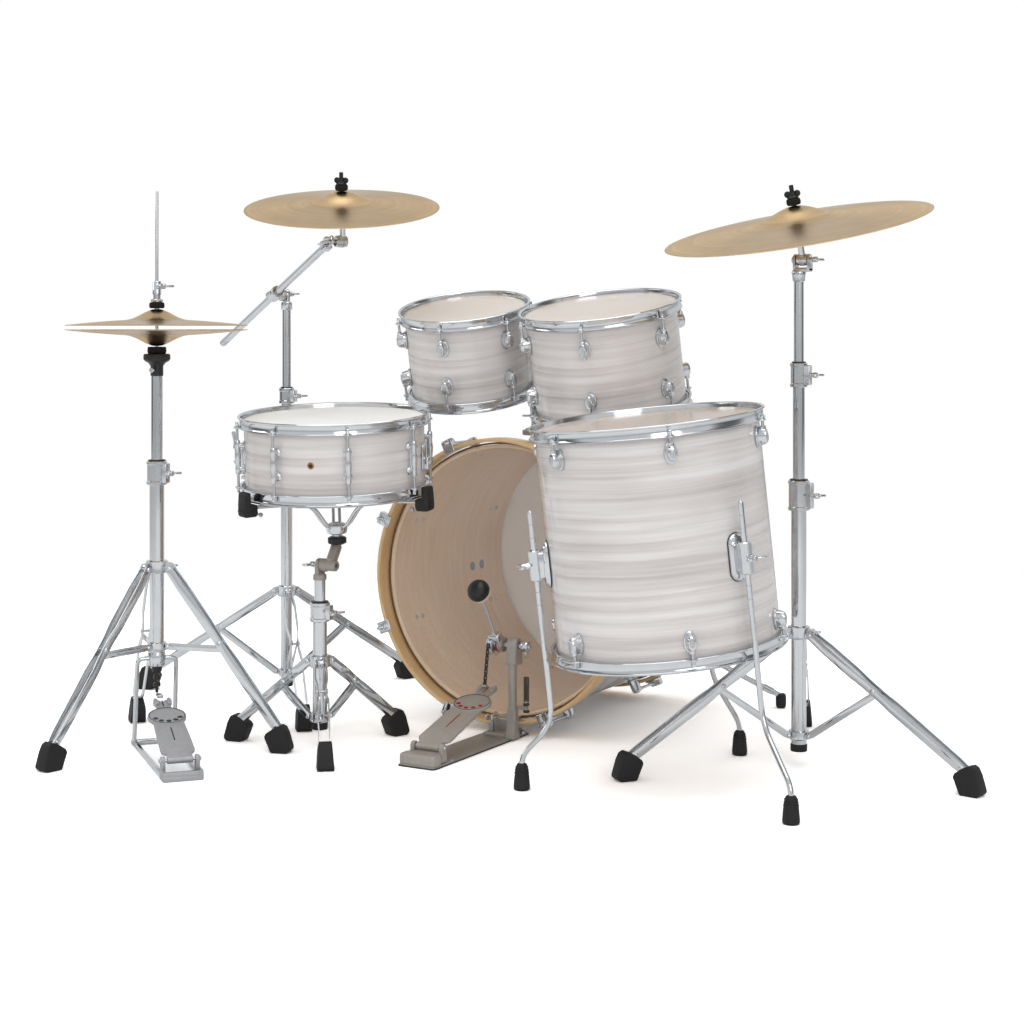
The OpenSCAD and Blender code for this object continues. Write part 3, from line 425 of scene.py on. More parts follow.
# %% [markdown]
# The floor is a white sweep. Lamps light it like paper, but what the camera
# sees of it is lifted until only the soft shadows are left, and two metres
# out it turns into the background, so there is no horizon.

# %% White floor
def floor_finish():
    f = Finish("studio_floor")
    cloud = f.noise(f.place(), 0.7)
    x, y = f.parts(f.place())[:2]
    far = f.ramp((x * x + y * y).math("SQRT") / 6, (0.26, (0, 0, 0)), (0.46, (1, 1, 1)))
    white = f.mix(cloud, (0.90, 0.90, 0.90), (0.92, 0.92, 0.92))
    tree = f.tree
    tree.nodes.remove(f.shader)
    paper = [tree.nodes.new("ShaderNodeBsdfDiffuse") for _ in range(2)]
    f.put(paper[0].inputs["Color"], white)
    f.put(paper[1].inputs["Color"], white * FLOOR_LIFT)
    glow = tree.nodes.new("ShaderNodeEmission")
    glow.inputs["Strength"].default_value = PAPER_WHITE
    ray = tree.nodes.new("ShaderNodeLightPath").outputs["Is Camera Ray"]
    lifted, faded = [tree.nodes.new("ShaderNodeMixShader") for _ in range(2)]
    f.put(faded.inputs[0], far * Value(f, ray))
    link = tree.links.new
    link(ray, lifted.inputs[0])
    link(paper[0].outputs[0], lifted.inputs[1])
    link(paper[1].outputs[0], lifted.inputs[2])
    link(lifted.outputs[0], faded.inputs[1])
    link(glow.outputs[0], faded.inputs[2])
    link(faded.outputs[0], f.output.inputs["Surface"])
    return f.material


FLOOR_LIFT = 1.9
studio_floor.data.materials.append(floor_finish())


# %% [markdown]
# ## A bench for making pieces
# A piece is often many small shapes: a lug is a plate, a dome and a screw. The
# `Piece` class collects them. Each shape is made by a bmesh operator around
# its own origin, in millimetres, then moved into place by a matrix and merged
# into one mesh, and it keeps its own finish by face. At the end the mesh is
# scaled to metres, hung on its body and told which CAD nodes it stands for.

# %% Piece
def shift(x, y, z):
    return Matrix.Translation((x, y, z))


def spin(degrees, axis="Z"):
    return Matrix.Rotation(math.radians(degrees), 4, axis)


def pose(at, turn=(0, 0, 0)):
    """Place and turn, with the angles applied about X, then Y, then Z."""
    return shift(*at) @ Euler([math.radians(t) for t in turn]).to_matrix().to_4x4()


def aim(start, end):
    """Frame at start whose +Z points at end, as for a rod between two points."""
    run = Vector(end) - Vector(start)
    turn = run.to_track_quat("Z", "Y").to_matrix().to_4x4()
    return Matrix.Translation(start) @ turn


class Piece:
    def __init__(self, name):
        self.name = name
        self.mesh = bmesh.new()
        self.finishes = []

    def slot_of(self, finish):
        if finish not in self.finishes:
            self.finishes.append(finish)
        return self.finishes.index(finish)

    def add(self, shape, finish, place=None, inside=None):
        """Merge a bmesh into the piece. `inside` paints faces that its test picks."""
        main = self.slot_of(finish)
        for face in shape.faces:
            face.material_index = main
        if inside:
            second, test = self.slot_of(inside[0]), inside[1]
            for face in shape.faces:
                if test(face.calc_center_median(), face.normal):
                    face.material_index = second
        if place is not None:
            shape.transform(place)
        part = bpy.data.meshes.new("part")
        shape.to_mesh(part)
        shape.free()
        self.mesh.from_mesh(part)
        bpy.data.meshes.remove(part)

    def finish(self, body, *nodes, slot="chrome", sharp=38):
        """Scale to metres and hang on `body`. A chain has no CAD node, so it replaces none."""
        self.mesh.transform(Matrix.Scale(MM, 4))
        data = bpy.data.meshes.new(self.name)
        self.mesh.to_mesh(data)
        self.mesh.free()
        for finish in self.finishes:
            data.materials.append(finish)
        data.shade_smooth()
        data.set_sharp_from_angle(angle=math.radians(sharp))
        made = bpy.data.objects.new(self.name, data)
        bpy.context.scene.collection.objects.link(made)
        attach(made, body)
        if nodes:
            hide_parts(*nodes)
        print(f"{self.name}: {len(data.polygons)} faces on {body}")


# %% [markdown]
# The shape makers below are the workshop's machines: a lathe (`turned`), a
# tube mill (`bar_stock`), a bending jig (`bent`), a press (`stamped`) and a
# rounded block. Each returns a bmesh with closed, outward faces.

# %% Shape makers
def cleaned(shape):
    bmesh.ops.remove_doubles(shape, verts=shape.verts, dist=1e-4)
    bmesh.ops.recalc_face_normals(shape, faces=shape.faces)
    return shape


def softened(shape, width, segments=2, angle=30):
    """Bevel the edges that are sharper than `angle`."""
    limit = math.radians(angle)
    sharp = [e for e in shape.edges if len(e.link_faces) == 2 and e.calc_face_angle(0) > limit]
    bmesh.ops.bevel(shape, geom=sharp, offset=width, offset_type="OFFSET", segments=segments,
                    affect="EDGES", profile=0.5, material=-1, clamp_overlap=True)
    return shape


def turned(outline, steps=64):
    """Spin a list of (radius, height) points about Z. An open outline starts and ends on the axis."""
    shape = bmesh.new()
    verts = [shape.verts.new((r, 0, z)) for r, z in outline]
    pairs = zip(verts, verts[1:] + verts[:1]) if outline[0][0] > 0 else zip(verts, verts[1:])
    edges = [shape.edges.new(pair) for pair in pairs]
    bmesh.ops.spin(shape, geom=verts + edges, cent=(0, 0, 0), axis=(0, 0, 1),
                   angle=math.tau, steps=steps, use_merge=True)
    return cleaned(shape)


def round_stock(d, h, edge=0.6, steps=32, top_d=None):
    """Solid round with softened rims, standing on the origin."""
    low, high = d / 2, (top_d or d) / 2
    return turned([(0, 0), (low - edge, 0), (low, edge), (high, h - edge),
                   (high - edge, h), (0, h)], steps)


def tube(od, inner, h, edge=0.5, steps=48):
    outer, bore = od / 2, inner / 2
    return turned([(bore, 0), (outer - edge, 0), (outer, edge), (outer, h - edge),
                   (outer - edge, h), (bore, h)], steps)


def block(size, edge=1.0, segments=2):
    """Box centred on the origin with rounded edges."""
    shape = bmesh.new()
    bmesh.ops.create_cube(shape, size=1.0)
    bmesh.ops.scale(shape, vec=size, verts=shape.verts)
    return softened(shape, edge, segments)


def ball(d, steps=24):
    shape = bmesh.new()
    bmesh.ops.create_uvsphere(shape, u_segments=steps, v_segments=steps // 2, radius=d / 2)
    return shape


def stamped(points, thick, edge=0.5, segments=2):
    """Flat outline raised by `thick` and softened."""
    shape = bmesh.new()
    base = shape.faces.new([shape.verts.new((x, y, 0)) for x, y in points])
    grown = bmesh.ops.extrude_face_region(shape, geom=[base])
    top = [v for v in grown["geom"] if isinstance(v, bmesh.types.BMVert)]
    bmesh.ops.translate(shape, vec=(0, 0, thick), verts=top)
    bmesh.ops.recalc_face_normals(shape, faces=shape.faces)
    return softened(shape, edge, segments)


def arc(centre, r, first, last, steps):
    return [(centre[0] + r * math.cos(math.radians(first + (last - first) * i / steps)),
             centre[1] + r * math.sin(math.radians(first + (last - first) * i / steps)))
            for i in range(steps + 1)]


def pill(w, h, steps=10):
    """Pill outline, h long along Y."""
    run = (h - w) / 2
    return arc((0, run), w / 2, 0, 180, steps) + arc((0, -run), w / 2, 180, 360, steps)


def oval(w, h, steps=36):
    return [(w / 2 * math.cos(math.tau * i / steps), h / 2 * math.sin(math.tau * i / steps))
            for i in range(steps)]


def domed(outline, height, top=0.55, rings=4):
    """Outline raised as a smooth dome: inset rings that climb a quarter round."""
    shape = bmesh.new()
    face = shape.faces.new([shape.verts.new((x, y, 0)) for x, y in outline])
    level = 0.0
    for ring in range(1, rings + 1):
        turn = math.pi / 2 * ring / rings
        grown = bmesh.ops.extrude_face_region(shape, geom=[face])
        verts = [v for v in grown["geom"] if isinstance(v, bmesh.types.BMVert)]
        face = [f for f in grown["geom"] if isinstance(f, bmesh.types.BMFace)][0]
        size = 1 - (1 - top) * (1 - math.cos(turn))
        last = 1 - (1 - top) * (1 - math.cos(turn - math.pi / 2 / rings))
        bmesh.ops.scale(shape, vec=(size / last, size / last, 1), verts=verts)
        bmesh.ops.translate(shape, vec=(0, 0, height * math.sin(turn) - level), verts=verts)
        level = height * math.sin(turn)
    return cleaned(shape)


def swept(points, d, bend=0.0, sides=8, cyclic=False):
    """Round rod along points, each corner rounded by a curve of radius `bend`."""
    path = bpy.data.curves.new("path", "CURVE")
    path.dimensions = "3D"
    path.bevel_depth = d / 2
    path.bevel_resolution = sides // 2
    path.use_fill_caps = not cyclic
    line = path.splines.new("POLY")
    route = rounded(points, bend) if bend else [Vector(p) for p in points]
    line.points.add(len(route) - 1)
    for point, spot in zip(line.points, route):
        point.co = (*spot, 1)
    line.use_cyclic_u = cyclic
    carrier = bpy.data.objects.new("carrier", path)
    made = bpy.data.meshes.new_from_object(carrier)
    shape = bmesh.new()
    shape.from_mesh(made)
    bpy.data.objects.remove(carrier)
    bpy.data.curves.remove(path)
    bpy.data.meshes.remove(made)
    return cleaned(shape)


def rounded(points, bend, steps=6):
    """The route with each corner replaced by a short quadratic curve."""
    spots = [Vector(p) for p in points]
    route = [spots[0]]
    for before, corner, after in zip(spots, spots[1:], spots[2:]):
        reach = min(bend, (corner - before).length * 0.45, (after - corner).length * 0.45)
        start = corner + (before - corner).normalized() * reach
        end = corner + (after - corner).normalized() * reach
        for i in range(steps + 1):
            t = i / steps
            route.append(start * (1 - t) ** 2 + corner * 2 * t * (1 - t) + end * t * t)
    return route + [spots[-1]]


def rod_between(start, end, d, edge=0.4, steps=20):
    length = (Vector(end) - Vector(start)).length
    shape = round_stock(d, length, edge, steps)
    shape.transform(aim(start, end))
    return shape


def coil(d, wire, length, turns, steps=16):
    """Helical spring along +Z."""
    count = turns * steps
    route = [(d / 2 * math.cos(math.tau * i / steps), d / 2 * math.sin(math.tau * i / steps),
              length * i / count) for i in range(count + 1)]
    return swept(route, wire, sides=4)


# %% [markdown]
# A stand is full of the same small hardware. The wing screw is the one that
# the eye finds most: a short shank with two rounded ears that lean outwards.

# %% Small hardware
def add_wing(piece, place, finish, reach=16, span=34):
    """Wing screw along +X: shank, hub and two ears, each leaning outwards."""
    piece.add(round_stock(8.4, reach, 0.5, 20), finish, place @ spin(90, "Y"))
    piece.add(round_stock(11, 9, 1.2, 20), finish, place @ shift(reach - 6, 0, 0) @ spin(90, "Y"))
    ear = span / 2 - 3
    outline = [(-4, 0)] + arc((3.5, ear), 6.5, 165, -25, 9) + [(4, 0)]
    for side in (0, 180):
        wing = stamped(outline, 4.2, 1.1)
        piece.add(wing, finish, place @ shift(reach, 0, 0) @ spin(side, "X") @ shift(0, 2, -2.1))


def add_bolt(piece, place, finish, d=8, h=4):
    """Round-headed bolt with a driver recess, standing on +Z."""
    head = turned([(0, 0), (d / 2, 0), (d / 2, h * 0.45), (d * 0.36, h * 0.9), (d * 0.2, h),
                   (d * 0.16, h * 0.45), (0, h * 0.45)], 20)
    piece.add(head, finish, place)


def add_collar(piece, place, low, high, od, inner, finish):
    """Clamp collar: a sleeve with flared rims, a split block and its wing screw."""
    h = high - low
    sleeve = turned([(inner / 2, 0), (od / 2 - 1.2, 0), (od / 2, 1.4), (od / 2, 6), (od / 2 - 1.3, 7.6),
                     (od / 2 - 1.3, h - 7.6), (od / 2, h - 6), (od / 2, h - 1.4),
                     (od / 2 - 1.2, h), (inner / 2, h)], 48)
    piece.add(sleeve, finish, place @ shift(0, 0, low))
    piece.add(block((14, 15, h - 8), 2.2, 3), finish, place @ shift(od / 2 + 1, 0, (low + high) / 2))
    add_wing(piece, place @ shift(od / 2 + 5, 0, (low + high) / 2), finish, 13)


# %% [markdown]
# ## Where things are
# The frame says where everything is: a drum's middle is the middle of its
# shell's box, and a pivot is where its joint turns. Only the sizes that a
# maker would order by are written here: shell diameters and depths, lug
# counts, and each drum's tilt towards the player.

# %% Places from the frame
JOINTS = {joint["name"]: joint for joint in frame["joints"]}


def pivot(joint):
    return Vector(JOINTS[joint]["pos_m"]) / MM


def middle(node):
    low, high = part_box(node)
    return (Vector(low) + Vector(high)) / 2 / MM


def up_of(turn):
    return Euler([math.radians(t) for t in turn]).to_matrix() @ Vector((0, 0, 1))


HEAD_DROP = 9.5          # from a steel rim to the shell's edge
HOOP_H = 22
SHELL_WALL = 7
ROD_OFFSET = 13.5


class Drum:
    """A drum's sizes, with its frame: origin at the middle of the upper rim."""

    def __init__(self, name, body, d, depth, turn, lugs, first, lug_z):
        self.name, self.body, self.d, self.depth = name, body, d, depth
        self.r, self.turn, self.lugs, self.first, self.lug_z = d / 2, turn, lugs, first, lug_z
        self.centre = middle(name + "_shell")
        self.rim = self.centre + up_of(turn) * (depth / 2 + HEAD_DROP)
        self.place = pose(self.rim, turn)
        self.under = self.place @ shift(0, 0, -2 * HEAD_DROP - depth) @ spin(180, "X")
        angles = [first + 360 / lugs * i for i in range(lugs)]
        self.ends = ((self.place, angles), (self.under, [-turn for turn in angles]))
        self.wrap = pearl(name + "_wrap", self.centre * MM, [math.radians(t) for t in turn])


SMALL_TOM = Drum("small_tom", "small_tom", 254, 177.8, (14.4, 2.1, 0), 6, -80.8, 58)
LARGE_TOM = Drum("large_tom", "large_tom", 304.8, 203.2, (12.5, -0.9, 0), 6, -76.7, 60)
FLOOR_TOM = Drum("floor_tom", "root", 406.4, 406.4, (4.4, -4.4, 0), 6, -53.6, 50)
SNARE = Drum("snare", "snare", 355.6, 139.7, (4.1, 1.2, 0), 8, 43, 0)
print("rims in mm:",
      [tuple(round(v) for v in drum.rim) for drum in (SMALL_TOM, LARGE_TOM, FLOOR_TOM, SNARE)])

# %% [markdown]
# ## Shells, heads and hoops
# A shell is a wooden tube whose rims are cut to a bearing edge: the film
# touches only a thin line. The wrap covers the outside, so faces that look
# outwards get the pearl and the rest stay wood. A head is film crimped into a
# metal ring. The steel hoop that pulls it down is one sheet folded three
# times: a curl at the top, an upright wall, and a flange with ears below.

# %% Shell
def wooden_tube(r, depth, wall=SHELL_WALL):
    """Shell from z = 0 down, with a bearing edge at both rims."""
    cut = wall - 2.2
    outline = [(r - 2.2, 0), (r, -1.6), (r, -depth + 1.6), (r - 2.2, -depth),
               (r - wall, -depth + cut), (r - wall, -cut)]
    return turned(outline, 128)


def make_shell(drum, vent_turn):
    piece = Piece(drum.name + "_shell_wrapped")
    outside = drum.r - 0.8
    piece.add(wooden_tube(drum.r, drum.depth), drum.wrap, drum.place @ shift(0, 0, -HEAD_DROP),
              inside=(INNER, lambda c, n: math.hypot(c.x, c.y) < outside))
    vent = drum.place @ spin(vent_turn)
    vent = vent @ shift(drum.r - 0.4, 0, -HEAD_DROP - drum.depth * 0.5) @ spin(90, "Y")
    piece.add(turned([(3.2, -1), (6.4, -1), (6.6, 0.7), (5.0, 1.7), (3.4, 1.2)], 28), BRASS, vent)
    # a black disc fills the grommet's hole: painted shade of the vent hole, which is open in the real shell
    piece.add(round_stock(6.6, 0.6, 0.1, 24), BLACK, vent)
    piece.finish(drum.body, drum.name + "_shell", slot="pearl_wrap")


# %% Head
def head_film(r, rise=0.0):
    """Film from z = 0 down, a hair thick, rolled over the bearing edge."""
    thick = 0.35
    return turned([(0, rise), (r * 0.5, rise * 0.7), (r - 5, 0), (r - 1.5, -0.25), (r + 0.8, -1.6),
                   (r + 1.2, -4.6), (r + 0.8, -4.6), (r + 0.4, -1.9), (r - 1.7, -0.25 - thick),
                   (r - 5, -thick), (r * 0.5, rise * 0.7 - thick), (0, rise - thick)], 96)


def crimp_ring(r):
    return turned([(r + 0.9, -4), (r + 1.4, -2.6), (r + 4.4, -2.6), (r + 4.9, -3.4),
                   (r + 4.9, -9.2), (r + 4.2, -9.8), (r + 1.5, -9.8), (r + 0.9, -9)], 96)


def make_heads(drum, top_film, low_film):
    piece = Piece(drum.name + "_heads_tuned")
    for place, film_finish in ((drum.place, top_film), (drum.under, low_film)):
        seat = place @ shift(0, 0, -8.2)
        piece.add(head_film(drum.r), film_finish, seat)
        piece.add(crimp_ring(drum.r), STEEL, seat)
    piece.finish(drum.body, drum.name + "_heads", slot="drum_head")


# %% Triple-flanged hoop
def flanged_hoop(r):
    sheet = 2.0
    inner = r + 6
    outline = [(inner, -HOOP_H + 1.2), (inner + 1.2, -HOOP_H), (r + 10.6, -HOOP_H),
               (r + 11.4, -HOOP_H + 0.7), (r + 11.2, sheet - HOOP_H), (inner + sheet + 1.2, sheet - HOOP_H),
               (inner + sheet, sheet - HOOP_H + 1.6), (inner + sheet, -6.5),
               (inner + sheet + 0.8, -4.6), (r + 11.8, -3.4), (r + 12, -1.2), (r + 10.8, -0.1),
               (r + 8.4, 0), (inner + 0.8, -0.9), (inner, -2.6)]
    return turned(outline, 144)


def add_hoop(piece, drum, place, angles):
    piece.add(flanged_hoop(drum.r), CHROME, place)
    ear = arc((ROD_OFFSET, 0), 6.6, -78, 78, 10) + [(8.0, 9.5), (8.0, -9.5)]
    for turn in angles:
        seat = place @ spin(turn) @ shift(drum.r, 0, -HOOP_H)
        piece.add(stamped(ear, 2.4, 0.5), CHROME, seat)
        piece.add(turned([(3.1, 2.3), (5.2, 2.3), (5.2, 3.2), (3.1, 3.2)], 20), STEEL,
                  seat @ shift(ROD_OFFSET, 0, 0))


def make_hoops(drum):
    piece = Piece(drum.name + "_hoops_flanged")
    for place, angles in drum.ends:
        add_hoop(piece, drum, place, angles)
    piece.finish(drum.body, drum.name + "_hoops")


# %% [markdown]
# ## Lugs and rods
# A lug holds the nut that each tension rod screws into. On the toms it is an
# oval, high at the end where the rod enters, with a small oval set in its
# face. The dome is grown ring by ring from its outline, which keeps its waist
# crisp and its top soft. The rod is a screw with a square head for a key.

# %% Oval lug and tension rod
def add_rod(piece, place, low, d=5.4):
    """Rod from z = low up to a washer and square head above the hoop's ear."""
    seat = -HOOP_H + 3.2
    piece.add(round_stock(d, seat - low, 0.3, 16), STEEL, place @ shift(0, 0, low))
    threads = coil(d - 0.4, 0.7, 9, 7, 12)
    piece.add(threads, STEEL, place @ shift(0, 0, low + 2))
    piece.add(round_stock(9.2, 1.7, 0.5, 20), CHROME, place @ shift(0, 0, seat - 0.2))
    piece.add(turned([(0, 0), (4.3, 0), (3.4, 2.4), (0, 2.4)], 24), CHROME,
              place @ shift(0, 0, seat + 1.4))
    piece.add(block((6, 6, 7), 0.8), CHROME, place @ shift(0, 0, seat + 6.2))


OUTWARD = spin(90) @ spin(90, "X")      # +Z to +X, +Y to +Z


def add_oval_lug(piece, place, reach=20):
    """Lug on a shell: +Z stands out from the shell and +Y points at the rim."""
    piece.add(stamped(oval(24, 39), 1.2, 0.4), STEEL, place)
    piece.add(stamped(oval(23.4, 38.4), 3.0, 1.0), CHROME, place @ shift(0, 0, 1))
    piece.add(domed(oval(19.5, 33), reach - 3, 0.62, 6), CHROME, place @ shift(0, 0.6, 3))
    piece.add(domed(oval(9.5, 16), 1.2, 0.75, 3), STEEL, place @ shift(0, -0.6, reach - 0.1))
    # throat that the rod enters
    throat = place @ shift(0, 8, reach - 6.7) @ spin(-90, "X")
    piece.add(round_stock(10.6, 11, 1.0, 20), CHROME, throat)


def make_tom_fittings(drum, *extras):
    piece = Piece(drum.name + "_lugs_and_rods")
    for place, angles in drum.ends:
        for turn in angles:
            side = place @ spin(turn)
            add_oval_lug(piece, side @ shift(drum.r + 0.2, 0, -drum.lug_z) @ OUTWARD)
            add_rod(piece, side @ shift(drum.r + ROD_OFFSET, 0, 0), -drum.lug_z + 10)
    for extra in extras:
        extra(piece, drum)
    piece.finish(drum.body, drum.name + "_fittings")


# %% [markdown]
# ## Toms
# Each mounted tom hangs on one arm. A plate screwed to the shell holds the
# rod, and the rod ends in a knuckle that the post's fork clamps. The place
# where the rod meets the shell is found by carrying the knuckle into the
# drum's own frame, where the shell is simply a circle.

# %% Tom arm
TOM_ROD = 12.7


def add_tom_arm(joint):
    elbow = pivot(joint)

    def build(piece, drum):
        inward = Vector((drum.centre.x, drum.centre.y, elbow.z))
        near, far = drum.place.inverted() @ elbow, drum.place.inverted() @ inward
        share = (near.xy.length - drum.r) / (near.xy.length - far.xy.length)
        touch = near.lerp(far, share)
        seat = drum.place @ shift(touch.x, touch.y, touch.z)
        seat = seat @ spin(math.degrees(math.atan2(touch.y, touch.x))) @ OUTWARD
        piece.add(stamped(pill(46, 66, 12), 2.0, 0.6), BLACK, seat)
        piece.add(domed(pill(44, 64, 12), 10, 0.74, 5), CAST, seat @ shift(0, 0, 1.6))
        for side in (-1, 1):
            add_bolt(piece, seat @ shift(0, side * 23, 8.5), CHROME, 9, 5)
        piece.add(rod_between(elbow, elbow.lerp(inward, share * 0.98), TOM_ROD, 0.8, 32), CHROME)
        collar_at = aim(elbow.lerp(inward, share * 0.9), elbow)
        piece.add(tube(25, TOM_ROD, 20, 1.5), CAST, collar_at)
        add_wing(piece, collar_at @ shift(10, 0, 10), CHROME, 10, 26)
        axis = Vector(JOINTS[joint]["axis"])
        barrel = aim(elbow - axis * 14, elbow + axis * 14)
        piece.add(turned([(4.6, 0), (12, 0), (13, 1), (13, 27), (12, 28), (4.6, 28)], 40), CAST, barrel)

    return build


def make_tom(drum, low_film, *extras):
    make_shell(drum, drum.first + 210)
    make_heads(drum, HAZY, low_film)
    make_hoops(drum)
    make_tom_fittings(drum, *extras)


make_tom(SMALL_TOM, CLEAR, add_tom_arm("small_tom_tilt"))
make_tom(LARGE_TOM, CLEAR, add_tom_arm("large_tom_tilt"))

# %% [markdown]
# ## Floor tom
# The floor tom stands on three bent rods. Each runs through a casting on the
# shell, where an eyebolt and a wing nut pinch it.

# %% Floor tom brackets and legs
FLOOR_LEG_R = FLOOR_TOM.r + 24
FLOOR_LEG_FIRST = FLOOR_TOM.first + 30
BRACKET_Z = -245
LEG_TOP_Z = -150
LEG_BEND_Z = -535
FLOOR_FOOT_R = 292
FLOOR_FOOT_TWIST = -3.6
FLOOR_FEET_AT = middle("floor_tom_shell") + Vector((46.2, 11.4, 0))
LEG_ROD = 10


def make_leg_bracket(piece, seat):
    """Bracket on a shell's side: +X out, +Z along the leg."""
    out = seat @ OUTWARD
    piece.add(stamped(pill(38, 86, 12), 1.6, 0.5), BLACK, out)
    piece.add(domed(pill(36, 84, 12), 9, 0.72, 5), CHROME, out @ shift(0, 0, 1.4))
    piece.add(domed(oval(13, 30), 1.4, 0.7, 3), STEEL, out @ shift(0, 0, 10))
    reach = FLOOR_LEG_R - FLOOR_TOM.r
    piece.add(block((reach + 2, 21, 50), 4.5, 4), CHROME, seat @ shift(reach / 2 + 2, 0, 0))
    piece.add(tube(24, LEG_ROD + 1, 56, 2.0, 40), CHROME, seat @ shift(reach, 0, -28))
    piece.add(round_stock(13, 10, 1.5, 24), CHROME, seat @ shift(reach + 9, 0, 0) @ spin(90, "Y"))
    add_wing(piece, seat @ shift(reach + 12, 0, 0), CHROME, 11, 34)


def make_floor_leg(name, number, shape_name):
    turn = FLOOR_LEG_FIRST + number * 120
    out = Vector((math.cos(math.radians(turn)), math.sin(math.radians(turn)), 0))
    top = FLOOR_TOM.place @ (out * FLOOR_LEG_R + Vector((0, 0, LEG_TOP_Z)))
    bend = FLOOR_TOM.place @ (out * FLOOR_LEG_R + Vector((0, 0, LEG_BEND_Z)))
    foot_way = spin(turn + FLOOR_FOOT_TWIST) @ Vector((FLOOR_FOOT_R, 0, 62))
    knee = Vector((FLOOR_FEET_AT.x, FLOOR_FEET_AT.y, 0)) + foot_way
    ankle = Vector((knee.x, knee.y, 20))
    piece = Piece(shape_name)
    piece.add(swept([top, bend, knee, ankle], LEG_ROD, 34, 16), CHROME)
    piece.add(ball(LEG_ROD - 0.2, 20), CHROME, shift(*top))
    for level in (-172, -196, -220, -270, -294, -318):
        ring_at = FLOOR_TOM.place @ shift(*(out * FLOOR_LEG_R)) @ shift(0, 0, level)
        piece.add(turned([(4.6, 0), (5.25, 0.4), (5.25, 1.6), (4.6, 2)], 24), STEEL, ring_at)
    boot = turned([(0, 0), (13, 0), (14.4, 2), (15, 7), (13.6, 24), (11.4, 40), (9.2, 46), (6.6, 48),
                   (0, 48)], 32)
    piece.add(boot, RUBBER, shift(knee.x, knee.y, 0))
    for level in (30, 35, 40):
        rib_r = 13.1 - (level - 30) * 0.17
        rib = [(rib_r - 2, 0), (rib_r + 0.5, 0.4), (rib_r + 0.4, 2), (rib_r - 2, 2.4)]
        piece.add(turned(rib, 32), RUBBER, shift(knee.x, knee.y, level))
    piece.finish(name, name)


def add_floor_brackets(piece):
    for number in range(3):
        seat = FLOOR_TOM.place @ spin(FLOOR_LEG_FIRST + number * 120) @ shift(FLOOR_TOM.r, 0, BRACKET_Z)
        make_leg_bracket(piece, seat)


make_tom(FLOOR_TOM, CLEAR)
make_floor_leg("floor_leg_right", 0, "leg_rod_right")
make_floor_leg("floor_leg_back", 1, "leg_rod_back")
make_floor_leg("floor_leg_left", 2, "leg_rod_left")

# %% [markdown]
# ## Bass drum
# The bass drum lies on its side. Its hoops are bent maple, its batter head is
# clear, so the raw wood inside shows through it, and its front head is a
# glossy white film that lets a little light through. Claws hook over the
# hoops and long rods draw them in.

# %% Bass drum places
BASS_D = 558.8
BASS_R = BASS_D / 2
BASS_DEPTH = 457.2
BASS_HOOP_R = BASS_R + 14.6
BASS_HOOP_WALL = 7.5
BASS_HOOP_DEPTH = 42
BASS_SHELL_IN = 31.5
BASS_HEAD_IN = 30
BASS_LENGTH = BASS_DEPTH + 2 * BASS_SHELL_IN
BASS_ROD_R = BASS_HOOP_R + 9
BASS_AXIS = middle("bass_shell")
BASS_PLACE = pose(BASS_AXIS - Vector((0, BASS_LENGTH / 2, 0)), (-90, 0, 0))
BASS_FRONT = BASS_PLACE @ shift(0, 0, BASS_LENGTH) @ spin(180, "X")
BASS_LUG_TURNS = [22.5 + 45 * i for i in range(8)]


def make_bass_shell():
    piece = Piece("bass_shell_wrapped")
    wrap = pearl("bass_wrap", BASS_AXIS * MM, (math.radians(-90), 0, 0))
    seat = BASS_PLACE @ shift(0, 0, BASS_SHELL_IN + BASS_DEPTH)
    piece.add(wooden_tube(BASS_R, BASS_DEPTH), wrap, seat,
              inside=(INNER, lambda c, n: math.hypot(c.x, c.y) < BASS_R - 0.8))
    # lug screws show inside, through the clear head
    for place, sign in ((BASS_PLACE, 1), (BASS_FRONT, -1)):
        for turn in BASS_LUG_TURNS:
            for along in (-12, 12):
                inner = place @ spin(sign * turn) @ shift(BASS_R - SHELL_WALL + 0.2, 0,
                                                          BASS_SHELL_IN + 72 + along)
                piece.add(round_stock(11, 1.2, 0.4, 20), STEEL, inner @ spin(-90, "Y"))
                add_bolt(piece, inner @ shift(-1, 0, 0) @ spin(-90, "Y"), STEEL, 7, 3.4)
    piece.finish("root", "bass_shell", slot="pearl_wrap")


def make_bass_heads():
    piece = Piece("bass_heads_tuned")
    batter = BASS_PLACE @ shift(0, 0, BASS_HEAD_IN) @ spin(180, "X")
    front = BASS_PLACE @ shift(0, 0, BASS_LENGTH - BASS_HEAD_IN)
    for seat, finish in ((batter, CLEAR_BASS), (front, SMOOTH_WHITE)):
        piece.add(head_film(BASS_R), finish, seat)
        piece.add(crimp_ring(BASS_R), RIM_BROWN, seat)
    # two small impact patches where the beater lands
    for side in (-1, 1):
        patch = batter @ shift(11 * side - 62, 27 + 3 * side, 0.05)
        piece.add(stamped(oval(11, 19, 24), 0.25, 0.05, 1), PATCH, patch)
    piece.finish("root", "bass_heads", slot="drum_head")


def make_bass_hoop(name, place):
    piece = Piece(name + "_maple")
    inner, outer = BASS_HOOP_R - BASS_HOOP_WALL, BASS_HOOP_R
    deep = BASS_HOOP_DEPTH
    outline = [(inner, 2.0), (inner + 1.2, 0.5), (inner + 2.4, 0), (outer - 2.4, 0), (outer - 0.9, 0.7),
               (outer, 2.2), (outer, deep - 2.2), (outer - 0.9, deep - 0.7), (outer - 2.4, deep),
               (inner + 2.4, deep), (inner + 1.2, deep - 0.5), (inner, deep - 2)]
    piece.add(turned(outline, 160), MAPLE, place)
    piece.finish("root", name, slot="maple")


